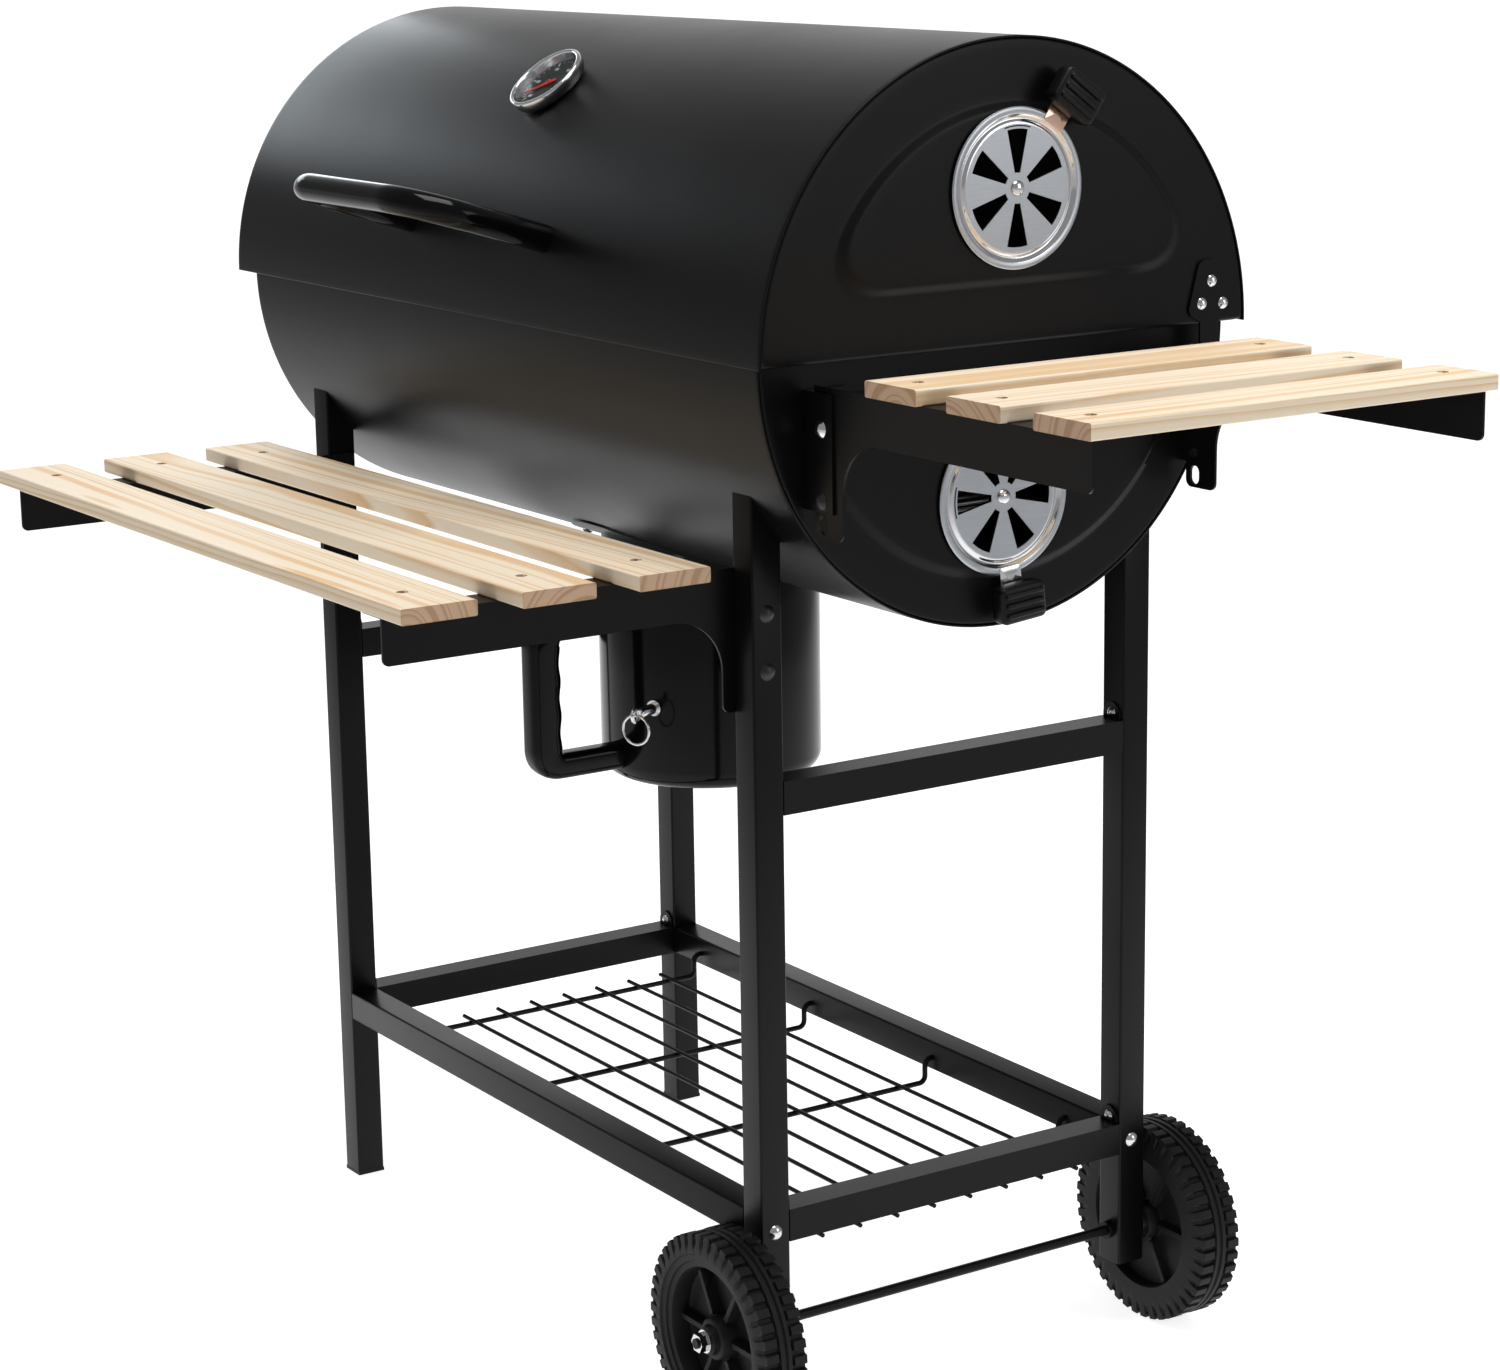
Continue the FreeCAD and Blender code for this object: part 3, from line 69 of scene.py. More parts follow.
LID_LOW, LID_HIGH = span("lid_shell")
BOWL_LOW, BOWL_HIGH = span("bowl_shell")
MID_X, MID_Y = ((LID_LOW + LID_HIGH) / 2)[:2]
AXIS_Z = LID_LOW[2]
LID_R = (LID_HIGH[1] - LID_LOW[1]) / 2
LID_HALF = (LID_HIGH[0] - LID_LOW[0]) / 2
BOWL_R = (BOWL_HIGH[1] - BOWL_LOW[1]) / 2
BOWL_HALF = (BOWL_HIGH[0] - BOWL_LOW[0]) / 2
BOWL_RIM = BOWL_HIGH[2] - AXIS_Z
JOINTS = {joint["name"]: joint for joint in frame["joints"]}


# ---- sizes and colours a user may change -------------------------------------------------------


class BarrelSizes(bpy.types.PropertyGroup):
    """Sheet metal of the lid, the bowl and their end caps."""

    wall: FloatProperty(name="Sheet", description="Thickness of the sheet", default=1.5 * MM,
                        unit="LENGTH")
    cap_bend: FloatProperty(name="Cap bend", description="Bend where a cap turns into its shell",
                            default=2.4 * MM, unit="LENGTH")
    panel_rise: FloatProperty(name="Panel rise", description="How far the pressed panel stands out",
                              default=3.3 * MM, unit="LENGTH")
    panel_radius: FloatProperty(name="Panel arc", description="Radius of the panel's round side",
                                default=170 * MM, unit="LENGTH")
    panel_edge: FloatProperty(name="Panel edge", description="Panel's straight side from the axis",
                              default=45.5 * MM, unit="LENGTH")
    panel_round: FloatProperty(name="Panel corners", default=52 * MM, unit="LENGTH",
                               description="Blend between arc and straight side")
    panel_ramp: FloatProperty(name="Panel slope", description="Width of the pressed slope",
                              default=8.5 * MM, unit="LENGTH")
    steps: IntProperty(name="Steps", description="Faces round half the barrel", default=160)


class VentSizes(bpy.types.PropertyGroup):
    """The two round vents."""

    radius: FloatProperty(name="Disc", description="Radius of the vent disc", default=57.4 * MM,
                          unit="LENGTH")
    inner: FloatProperty(name="Window from", description="Inner radius of the windows",
                         default=11 * MM, unit="LENGTH")
    outer: FloatProperty(name="Window to", description="Outer radius of the windows",
                         default=42 * MM, unit="LENGTH")
    window: FloatProperty(name="Window width", description="Angle that a window takes",
                          default=math.radians(25), subtype="ANGLE")
    upper_turn: FloatProperty(name="Upper windows", description="Angle of the upper vent's windows",
                              default=math.radians(30), subtype="ANGLE")
    lower_turn: FloatProperty(name="Lower windows", description="Angle of the lower vent's windows",
                              default=0.0, subtype="ANGLE")


class FittingSizes(bpy.types.PropertyGroup):
    """Lid handle and thermometer."""

    handle_angle: FloatProperty(name="Handle height", description="Angle above the horizontal",
                                default=math.radians(17.5), subtype="ANGLE")
    handle_reach: FloatProperty(name="Handle reach", description="Grip's middle off the lid",
                                default=113 * MM, unit="LENGTH")
    handle_half: FloatProperty(name="Handle half width", description="Half the width between legs",
                               default=106 * MM, unit="LENGTH")
    handle_bend: FloatProperty(name="Handle bend", description="Bending radius", default=45 * MM,
                               unit="LENGTH")
    handle_tube: FloatProperty(name="Handle tube", description="Radius of the tube",
                               default=11 * MM, unit="LENGTH")
    gauge_angle: FloatProperty(name="Thermometer height", description="Angle above the horizontal",
                               default=math.radians(51.4), subtype="ANGLE")
    gauge_radius: FloatProperty(name="Thermometer", description="Radius of its case",
                                default=33 * MM, unit="LENGTH")


class CartSizes(bpy.types.PropertyGroup):
    """Wheels and square tubes."""

    lugs: IntProperty(name="Lugs", description="Tread lugs in each of the two rows", default=44)
    lug_depth: FloatProperty(name="Lug depth", description="Depth of the tread", default=3.2 * MM,
                             unit="LENGTH")
    ribs: IntProperty(name="Ribs", description="Ribs on a wheel's disc", default=6)
    tube_round: FloatProperty(name="Tube corners", description="Rounding of a square tube",
                              default=1.8 * MM, unit="LENGTH")


class Finishes(bpy.types.PropertyGroup):
    """Base colours, as linear values."""

    paint: FloatVectorProperty(name="Paint", description="Satin powder coat", subtype="COLOR",
                               default=(0.0030, 0.0028, 0.0032), min=0, max=1)
    gloss: FloatVectorProperty(name="Enamel", description="Gloss enamel of handle and pot",
                               subtype="COLOR", default=(0.0022, 0.0022, 0.0025), min=0, max=1)
    steel: FloatVectorProperty(name="Steel", description="Brushed stainless steel", subtype="COLOR",
                               default=(0.44, 0.46, 0.49), min=0, max=1)
    chrome: FloatVectorProperty(name="Chrome", description="Bright plating", subtype="COLOR",
                                default=(0.72, 0.72, 0.74), min=0, max=1)
    plastic: FloatVectorProperty(name="Plastic", description="Moulded wheels", subtype="COLOR",
                                 default=(0.0052, 0.0050, 0.0054), min=0, max=1)
    pine_pale: FloatVectorProperty(name="Pine, pale", description="Early wood", subtype="COLOR",
                                   default=(0.90, 0.78, 0.61), min=0, max=1)
    pine_dark: FloatVectorProperty(name="Pine, grain", description="Late wood", subtype="COLOR",
                                   default=(0.76, 0.47, 0.21), min=0, max=1)


class StageSizes(bpy.types.PropertyGroup):
    """Camera, lights and floor."""

    eye: FloatVectorProperty(name="Camera", description="Where the camera stands", subtype="XYZ",
                             default=(MID_X + 2.4418, MID_Y - 1.5524, 1.160))
    azimuth: FloatProperty(name="Azimuth", description="View round the object, 0 looks along +Y",
                           default=math.radians(56.9), subtype="ANGLE")
    elevation: FloatProperty(name="Elevation", description="View down on the object",
                             default=math.radians(13.0), subtype="ANGLE")
    roll: FloatProperty(name="Roll", description="Camera turned about its own line",
                        default=math.radians(-0.9), subtype="ANGLE")
    lens: FloatProperty(name="Lens", description="Focal length on a 36 mm sensor", default=85.46)


# ---- grids of points made into meshes ----------------------------------------------------------


class Skin:
    """Gathers surfaces, each a grid of points, into one mesh."""

    def __init__(self):
        self.points = []
        self.faces = []
        self.count = 0

    def grid(self, points, close_rows=False, close_columns=False, keep=None):
        """Adds a grid of shape (rows, columns, 3); keep marks the cells that get a face."""
        rows, columns = points.shape[:2]
        row = np.arange(rows if close_rows else rows - 1)[:, None]
        column = np.arange(columns if close_columns else columns - 1)[None, :]
        corner = [(row + i) % rows * columns + (column + j) % columns
                  for i, j in ((0, 0), (0, 1), (1, 1), (1, 0))]
        quads = np.stack(corner, axis=-1).reshape(-1, 4) + self.count
        if keep is not None:
            quads = quads[keep.reshape(-1)]
        self.points.append(points.reshape(-1, 3))
        self.faces.append(quads)
        self.count += rows * columns
        return self

    def object(self, name, wall=0.0, sharp=38.0, merge=1e-6):
        """Makes the object: seams merged, an optional wall centred on the sheet, faces turned outwards."""
        points = np.concatenate(self.points)
        quads = np.concatenate(self.faces)
        mesh = bpy.data.meshes.new(name)
        mesh.vertices.add(len(points))
        mesh.vertices.foreach_set("co", points.astype(np.float32).ravel())
        mesh.loops.add(quads.size)
        mesh.loops.foreach_set("vertex_index", quads.astype(np.int32).ravel())
        mesh.polygons.add(len(quads))
        mesh.polygons.foreach_set("loop_start", np.arange(0, quads.size, 4, dtype=np.int32))
        mesh.update(calc_edges=True)
        mesh.validate()
        work = bmesh.new()
        work.from_mesh(mesh)
        bmesh.ops.remove_doubles(work, verts=work.verts, dist=merge)
        bmesh.ops.dissolve_degenerate(work, dist=merge / 2, edges=work.edges)
        loose = [vertex for vertex in work.verts if not vertex.link_faces]
        bmesh.ops.delete(work, geom=loose, context="VERTS")
        bmesh.ops.recalc_face_normals(work, faces=work.faces)
        work.to_mesh(mesh)
        work.free()
        piece = bpy.data.objects.new(name, mesh)
        bpy.context.scene.collection.objects.link(piece)
        if wall:
            piece = thicken(piece, wall)
        smooth(piece, sharp)
        return piece


def thicken(piece, wall):
    """Gives an open sheet its wall, centred on it, and bakes it into the mesh."""
    solid = piece.modifiers.new("Wall", "SOLIDIFY")
    solid.thickness = wall
    solid.offset = 0
    solid.use_even_offset = True
    shaped = piece.evaluated_get(bpy.context.evaluated_depsgraph_get())
    mesh = bpy.data.meshes.new_from_object(shaped)
    piece.modifiers.clear()
    piece.data = mesh
    return piece


def smooth(piece, sharp):
    """Smooth shading, with edges over an angle in degrees kept sharp."""
    mesh = piece.data
    mesh.polygons.foreach_set("use_smooth", np.ones(len(mesh.polygons), dtype=bool))
    mesh.set_sharp_from_angle(angle=math.radians(sharp))
    mesh.update()


def unit(vector):
    """A vector over its own length."""
    vector = np.asarray(vector, float)
    return vector / np.linalg.norm(vector)


def square_to(axis):
    """Two directions square to an axis and to each other."""
    axis = unit(axis)
    helper = np.array([0, 0, 1.0]) if abs(axis[2]) < 0.9 else np.array([1.0, 0, 0])
    first = unit(np.cross(helper, axis))
    return first, np.cross(axis, first)


def round_corners(points, radius, steps=6, closed=True):
    """Corners of a polyline replaced by arcs tangent to both sides."""
    points = np.asarray(points, float)
    count = len(points)
    radii = np.broadcast_to(radius, count)
    made = []
    for i in range(count):
        corner = points[i]
        if (not closed and i in (0, count - 1)) or radii[i] <= 0:
            made.append(corner)
            continue
        back = unit(points[i - 1] - corner)
        ahead = unit(points[(i + 1) % count] - corner)
        half = math.acos(np.clip(back @ ahead, -1, 1)) / 2
        if half > 1.55:
            made.append(corner)
            continue
        run = radii[i] / math.tan(half)
        centre = corner + unit(back + ahead) * radii[i] / math.sin(half)
        start = corner + back * run - centre
        end = corner + ahead * run - centre
        turn = math.pi - 2 * half
        for t in np.linspace(0, 1, steps):
            made.append(centre + (math.sin((1 - t) * turn) * start + math.sin(t * turn) * end)
                        / math.sin(turn))
    return np.array(made)


def revolve(profile, centre, axis, sides=64):
    """Rings about an axis: each (radius, height) of the profile goes once round."""
    profile = np.asarray(profile, float)
    first, second = square_to(axis)
    turn = np.linspace(0, 2 * np.pi, sides, endpoint=False)
    around = np.cos(turn)[:, None] * first + np.sin(turn)[:, None] * second
    rings = profile[:, 0, None, None] * around[None] + profile[:, 1, None, None] * unit(axis)
    return rings + np.asarray(centre)


def frames(path, closed=False):
    """Directions square to a path, carried along it without twist."""
    path = np.asarray(path, float)
    if closed:
        tangents = np.roll(path, -1, 0) - np.roll(path, 1, 0)
    else:
        tangents = np.gradient(path, axis=0)
    tangents /= np.linalg.norm(tangents, axis=1)[:, None]
    first, _ = square_to(tangents[0])
    sides = []
    for tangent in tangents:
        first = unit(first - tangent * (first @ tangent))
        sides.append((first, np.cross(tangent, first)))
    return np.array(sides)


def circles(path, sides_at, radii, sides):
    """A circle about each point of a path, in the plane of its two side directions."""
    turn = np.linspace(0, 2 * np.pi, sides, endpoint=False)
    ring = (np.cos(turn)[None, :, None] * sides_at[:, 0, None] +
            np.sin(turn)[None, :, None] * sides_at[:, 1, None])
    return path[:, None] + radii[:, None, None] * ring


def tube_rings(path, radius, sides):
    """Circles of one radius square to a path."""
    return circles(path, frames(path), np.full(len(path), radius), sides)


def sweep(path, radius, sides=16, closed=False):
    """A circle carried along a path; open ends narrow to a point just beyond the path."""
    path = np.asarray(path, float)
    sides_at = frames(path, closed)
    radii = np.full(len(path), float(radius))
    if not closed:
        head, tail = unit(path[0] - path[1]), unit(path[-1] - path[-2])
        beyond = radius * 0.35 * np.array([[1.0], [1.0], [0.6]])
        narrow = radius * np.array([0, 0.62, 0.9])
        path = np.concatenate([path[0] + head * beyond, path, path[-1] + tail * beyond[::-1]])
        radii = np.concatenate([narrow, radii, narrow[::-1]])
        sides_at = np.concatenate([sides_at[:1]] * 3 + [sides_at] + [sides_at[-1:]] * 3)
    return circles(path, sides_at, radii, sides)


def add_sweep(skin, path, radius, sides=16, closed=False):
    """Adds a swept circle to a skin."""
    return skin.grid(sweep(path, radius, sides, closed), close_rows=closed, close_columns=True)


def prism(skin, outline, low, high, bevel, place):
    """An upright outline padded from low to high, its two rims bevelled and closed by fans.

    place turns rows of (x, y, height) into points.
    """
    outline = np.asarray(outline, float)
    tangent = np.roll(outline, -1, 0) - np.roll(outline, 1, 0)
    normal = np.stack([tangent[:, 1], -tangent[:, 0]], 1)
    normal /= np.linalg.norm(normal, axis=1)[:, None] + 1e-12
    after = np.roll(outline, -1, 0)
    area = np.sum(outline[:, 0] * after[:, 1] - outline[:, 1] * after[:, 0])
    normal *= math.copysign(1, area)
    middle = outline.mean(0)
    part = 0.3 * bevel
    rows = []
    for inset, height in ((None, low), (bevel, low), (part, low + part), (0, low + bevel),
                          (0, high - bevel), (part, high - part), (bevel, high), (None, high)):
        flat = np.tile(middle, (len(outline), 1)) if inset is None else outline - normal * inset
        rows.append(np.column_stack([flat, np.full(len(outline), height)]))
    rows = np.array(rows)
    skin.grid(place(rows.reshape(-1, 3)).reshape(rows.shape), close_columns=True)


def along_axes(origin, first, second, third):
    """A placer: own x, y and height go along three directions from an origin."""
    base = np.array([unit(first), unit(second), unit(third)])
    return lambda rows: np.asarray(origin) + rows @ base


def ease(t):
    """Smooth step from 0 to 1."""
    t = np.clip(t, 0, 1)
    return t * t * (3 - 2 * t)


# ---- finishes ----------------------------------------------------------------------------------


class Value:
    """A shader socket that takes part in arithmetic: each operation adds a Math node."""

    def __init__(self, shader, socket):
        self.shader = shader
        self.socket = socket

    def maths(self, operation, *others):
        return self.shader.add("ShaderNodeMath", {"operation": operation},
                               {i: other for i, other in enumerate(others)})

    def __add__(self, other):
        return self.maths("ADD", self, other)

    def __sub__(self, other):
        return self.maths("SUBTRACT", self, other)

    def __rsub__(self, other):
        return self.maths("SUBTRACT", other, self)

    def __mul__(self, other):
        return self.maths("MULTIPLY", self, other)

    def __pow__(self, other):
        return self.maths("POWER", self, other)

    def __abs__(self):
        return self.maths("ABSOLUTE", self)

    def __gt__(self, other):
        return self.maths("GREATER_THAN", self, other)

    __radd__ = __add__
    __rmul__ = __mul__


class Shader:
    """A material with one Principled surface."""

    def __init__(self, name):
        self.material = bpy.data.materials.new(name)
        self.material.use_nodes = True
        self.tree = self.material.node_tree
        self.surface = self.tree.nodes["Principled BSDF"]
        self.place = self.add("ShaderNodeTexCoord", {}, {}, "Object")

    def add(self, kind, settings, inputs, output=0):
        """Adds a node: its settings first, then values or links for its sockets."""
        node = self.tree.nodes.new(kind)
        for name, setting in settings.items():
            if name == "ramp":
                self.fill_ramp(node.color_ramp, setting)
            else:
                setattr(node, name, setting)
        for key, given in inputs.items():
            self.feed(node.inputs[key], given)
        return Value(self, node.outputs[output])

    def feed(self, socket, given):
        """Links a value to a socket, or sets the socket's own number or colour."""
        if isinstance(given, Value):
            self.tree.links.new(given.socket, socket)
        elif hasattr(socket.default_value, "__len__") and hasattr(given, "__len__"):
            size = len(socket.default_value)
            socket.default_value = (list(given) + [1.0])[:size]
        else:
            socket.default_value = given

    @staticmethod
    def fill_ramp(ramp, stops):
        """Gives a colour ramp its stops, each a position and a colour."""
        while len(ramp.elements) < len(stops):
            ramp.elements.new(0.5)
        for element, (position, colour) in zip(ramp.elements, stops):
            element.position = position
            element.color = (*colour, 1.0)

    def set(self, **sockets):
        """Sets the surface's own sockets, underscores standing for spaces."""
        for name, given in sockets.items():
            self.feed(self.surface.inputs[name.replace("_", " ")], given)
        return self.material

    def noise(self, scale, detail=3.0, roughness=0.5, stretch=(1, 1, 1), shift=(0, 0, 0)):
        """Noise on the piece's own coordinates, stretched and shifted."""
        place = self.add("ShaderNodeMapping", {}, {"Vector": self.place, "Scale": stretch,
                                                   "Location": shift})
        return self.add("ShaderNodeTexNoise", {}, {"Vector": place, "Scale": scale,
                                                   "Detail": detail, "Roughness": roughness})

    def split(self, vector):
        """X, Y and Z of a vector."""
        node = self.add("ShaderNodeSeparateXYZ", {}, {0: vector}).socket.node
        return [Value(self, output) for output in node.outputs]

    def ramp(self, value, stops):
        """Looks a value up in a colour ramp."""
        return self.add("ShaderNodeValToRGB", {"ramp": stops}, {"Fac": value})

    def range(self, value, low, high):
        """Takes a value from 0 to 1 to the range from low to high."""
        return value * (high - low) + low

    def mix(self, factor, one, other):
        """Blends two colours."""
        return self.add("ShaderNodeMix", {"data_type": "RGBA"},
                        {"Factor": factor, 6: one, 7: other}, 2)

    def bump(self, height, strength, distance):
        """Relief from a height, for the Normal socket."""
        return self.add("ShaderNodeBump", {}, {"Height": height, "Strength": strength,
                                               "Distance": distance})


def tint(colour, amount):
    """A colour times an amount, held at 1."""
    return tuple(min(1.0, channel * amount) for channel in colour)


def coat_paint(name, colour, roughness, spread, grain, strength):
    """Powder coat or enamel: fine orange peel, faint cloudy shifts of tone and of gloss."""
    shader = Shader(name)
    cloud = shader.noise(9, 4)
    peel = shader.noise(grain, 3, 0.55)
    tone = shader.mix(cloud, tint(colour, 0.8), tint(colour, 1.25))
    rough = shader.range(cloud, roughness - spread, roughness + spread) + (peel - 0.5) * 0.06
    return shader.set(Base_Color=tone, Roughness=rough, Specular_IOR_Level=0.15,
                      Normal=shader.bump(peel, strength, 0.0002))


def bolt_plating(chrome, dark):
    """Bright bolts, except those between two heights, which are blackened."""
    shader = Shader("CartBolts")
    height = shader.split(shader.place)[2]
    lowest, highest = 0.56, 0.762
    black = (height > lowest) * (1 - (height > highest))
    haze = shader.noise(60, 3)
    tone = shader.mix(black, shader.mix(haze, tint(chrome, 0.9), chrome), tint(dark, 2.0))
    rough = shader.range(haze, 0.12, 0.2) + black * 0.25
    return shader.set(Base_Color=tone, Metallic=1 - black, Roughness=rough)


def moulded(name, colour, roughness, grain, strength):
    """Moulded plastic: a fine spark-eroded grain with greyer scuffed patches."""
    shader = Shader(name)
    pits = shader.noise(grain, 4, 0.6)
    scuff = shader.noise(14, 5, 0.6)
    tone = shader.mix(scuff, tint(colour, 0.8), tint(colour, 1.5))
    rough = shader.range(scuff, roughness - 0.08, roughness + 0.1)
    return shader.set(Base_Color=tone, Roughness=rough, Specular_IOR_Level=0.2,
                      Normal=shader.bump(pits, strength, 0.0003))


def brushed(name, colour, roughness, stretch):
    """Brushed steel: long fine scratches along one direction, in tone, gloss and relief."""
    shader = Shader(name)
    lines = shader.noise(60, 4, 0.65, stretch)
    tone = shader.mix(lines, tint(colour, 0.86), tint(colour, 1.08))
    rough = shader.range(lines, roughness - 0.08, roughness + 0.1)
    return shader.set(Base_Color=tone, Metallic=1.0, Roughness=rough,
                      Normal=shader.bump(lines, 0.12, 0.0001))


def plated(name, colour, roughness):
    """Bright plating: nearly a mirror, with a faint ripple and haze."""
    shader = Shader(name)
    ripple = shader.noise(220, 2)
    haze = shader.noise(30, 4)
    return shader.set(Base_Color=shader.mix(haze, tint(colour, 0.92), colour), Metallic=1.0,
                      Roughness=shader.range(haze, roughness, roughness + 0.07),
                      Normal=shader.bump(ripple, 0.05, 0.0002))


def pine(name, pale, dark, along, pith, seed):
    """Sawn pine: growth rings about a pith line beside the board, wandering along its length.

    A ring's place is the distance from the pith plus slow noise; late wood is the narrow dark
    part of each ring. Where the board is cut across, the rings show darker as arcs.
    """
    shader = Shader(name)
    parts = shader.split(shader.place)
    across = parts[1] if along == 0 else parts[0]
    height = parts[2]
    stretch = (1.6, 9, 9) if along == 0 else (9, 1.6, 9)
    wander = shader.noise(1.0, 3, 0.5, stretch, (seed, seed * 1.7, 0))
    drift = shader.noise(1.0, 1, 0.4, tuple(0.45 * s for s in stretch), (seed * 2.3, seed, 0))
    side = across - pith[0] + (drift - 0.5) * 0.10
    rise = height - pith[1] + (wander - 0.5) * 0.016
    distance = (side * side + rise * rise) ** 0.5 + (wander - 0.5) * 0.006
    year = shader.add("ShaderNodeCombineXYZ", {}, {0: distance * 55})
    year = shader.add("ShaderNodeTexNoise", {}, {"Vector": year, "Scale": 1.0, "Detail": 3.0})
    ring_width = 0.0075
    ring = shader.add("ShaderNodeMath", {"operation": "FRACT"},
                      {0: distance * (1 / ring_width) + year * 4})
    late = shader.ramp(ring, [(0.0, (0.05,) * 3), (0.5, (0.12,) * 3), (0.86, (0.9,) * 3),
                              (1.0, (0.1,) * 3)])
    late = shader.add("ShaderNodeSeparateColor", {}, {0: late})
    fibre_stretch = (14, 900, 900) if along == 0 else (900, 14, 900)
    fibre = shader.noise(1.0, 3, 0.6, fibre_stretch)
    blotch = shader.noise(5.5, 3, 0.5, (1, 1, 1), (seed, 0, 0))
    amount = late * shader.range(blotch, 0.35, 1.5) + (fibre - 0.5) * 0.22
    base = shader.mix(amount, pale, dark)
    facing = shader.add("ShaderNodeNewGeometry", {}, {}, "Normal")
    turned = shader.add("ShaderNodeSeparateXYZ", {}, {0: facing}, along)
    end = abs(turned) > 0.7
    end_pale, end_dark = (0.56, 0.38, 0.25), (0.36, 0.20, 0.11)
    cut = shader.mix(late * 0.9 + (fibre - 0.5) * 0.2, end_pale, end_dark)
    tone = shader.mix(end, base, cut)
    relief = late * 0.6 + fibre
    return shader.set(Base_Color=tone, Roughness=shader.range(fibre, 0.5, 0.68),
                      Specular_IOR_Level=0.35, Normal=shader.bump(relief, 0.25, 0.0002))


def clear_glass(name):
    """Clear glass with a trace of haze."""
    shader = Shader(name)
    haze = shader.noise(40, 3)
    return shader.set(Base_Color=(0.01, 0.012, 0.012), Roughness=haze * 0.05, Alpha=0.07,
                      Specular_IOR_Level=0.5)


def printed(name, colour):
    """A printed metal face: smooth ink with faint speckle."""
    shader = Shader(name)
    speck = shader.noise(900, 2)
    tone = shader.mix(speck, tint(colour, 0.8), tint(colour, 1.2))
    return shader.set(Base_Color=tone, Roughness=0.45, Normal=shader.bump(speck, 0.05, 0.0001))


FINISH = {}


def make_finishes(looks):
    """Fills FINISH with every finish that pieces share."""
    paint, gloss = tuple(looks.paint), tuple(looks.gloss)
    steel, chrome = tuple(looks.steel), tuple(looks.chrome)
    FINISH["paint"] = coat_paint("SatinPaint", paint, 0.34, 0.05, 1500, 0.22)
    FINISH["wire"] = coat_paint("WirePaint", tint(paint, 1.3), 0.38, 0.05, 1200, 0.2)
    FINISH["gloss"] = coat_paint("GlossEnamel", gloss, 0.11, 0.03, 500, 0.05)
    FINISH["wheel"] = moulded("WheelPlastic", tuple(looks.plastic), 0.52, 1400, 0.35)
    FINISH["knob"] = moulded("KnobPlastic", tint(tuple(looks.plastic), 0.45), 0.38, 1800, 0.25)
    FINISH["steel"] = brushed("BrushedSteel", steel, 0.32, (20, 1, 12))
    FINISH["polished"] = plated("PolishedSteel", chrome, 0.09)
    # Peach plated steel: a painted reflection of the pine shelf, given to the upper vent's strap only
    FINISH["painted_wood_reflection"] = plated("SteelPaintedWoodReflection", (0.78, 0.52, 0.40), 0.16)
    FINISH["bolts"] = bolt_plating(chrome, paint)
    FINISH["chrome"] = plated("Chrome", chrome, 0.10)
    FINISH["grate"] = brushed("GrateWire", tint(steel, 0.85), 0.35, (3, 3, 3))
    FINISH["glass"] = clear_glass("GaugeGlass")
    FINISH["dial"] = printed("DialInk", (0.004, 0.012, 0.010))
    FINISH["mark"] = printed("DialMarks", (0.55, 0.58, 0.56))
    FINISH["red"] = printed("NeedleRed", (0.62, 0.015, 0.012))


def dress(piece, finish):
    """Gives an object one finish."""
    piece.data.materials.clear()
    piece.data.materials.append(finish)


def settle(piece, body, slot, finish, *nodes):
    """Rides a new piece on its body, in place of CAD nodes, with its finish. The slot is not used."""
    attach(piece, body)
    if nodes:
        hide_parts(*nodes)
    dress(piece, FINISH[finish])
    return piece


# ---- barrel ------------------------------------------------------------------------------------


def curved_sheet(radius, half, first, last, wall, steps):
    """A bent sheet: a closed section in (x, radius) carried round the barrel axis.

    Angles run from -Y upwards. The section's long edges are rounded, and so are the two ends of
    the bend, where the sheet narrows in a half circle.
    """
    lip, margin, count = 0.5 * MM, 4 * MM, 24
    under = radius - wall
    corners = [(-half, under), (-half, radius), (half, radius), (half, under)]
    section = round_corners(corners, lip, 4)
    long_x = np.linspace(-half + margin, half - margin, count)
    outer = np.column_stack([long_x, np.full(count, radius)])
    inner = np.column_stack([long_x[::-1], np.full(count, under)])
    section = np.concatenate([section[:8], outer, section[8:], inner])
    spread = section[:, 1] - (radius - wall / 2)
    close = np.linspace(0, math.pi / 2, 5)
    bend = np.linspace(first, last, steps + 1)
    angles = np.concatenate([np.full(4, first), bend, np.full(4, last)])
    narrow = np.concatenate([np.cos(close[:0:-1]), np.ones(steps + 1), np.cos(close[1:])])
    beyond = np.concatenate([-np.sin(close[:0:-1]), np.zeros(steps + 1), np.sin(close[1:])])
    beyond = beyond * wall / 2
    ring = radius - wall / 2 + narrow[:, None] * spread[None]
    y = -ring * np.cos(angles)[:, None] + (beyond * np.sin(angles))[:, None]
    z = ring * np.sin(angles)[:, None] + (beyond * np.cos(angles))[:, None]
    x = np.broadcast_to(section[:, 0], y.shape)
    return np.stack([MID_X + x, MID_Y + y, AXIS_Z + z], axis=-1)


def panel_distance(y, z, sizes):
    """Distance outside the pressed panel: the larger of 'outside the arc' and 'below the edge'.

    The two are blended where they are close, which rounds the panel's corners.
    """
    arc = np.hypot(y, z) - sizes.panel_radius
    edge = sizes.panel_edge - z
    near = np.maximum(sizes.panel_round - np.abs(arc - edge), 0)
    return np.maximum(arc, edge) + near * near / (4 * sizes.panel_round)


def reach(test, centre, directions, far=0.5):
    """Along each direction from a centre, how far the test stays below zero."""
    steps = np.linspace(0, far, 2500)
    values = test(centre[0] + directions[:, :1] * steps, centre[1] + directions[:, 1:] * steps)
    hit = np.argmax(values > 0, axis=1)
    rows = np.arange(len(directions))
    low, high = values[rows, hit - 1], values[rows, hit]
    return steps[hit - 1] + (steps[1] - steps[0]) * (-low) / (high - low)


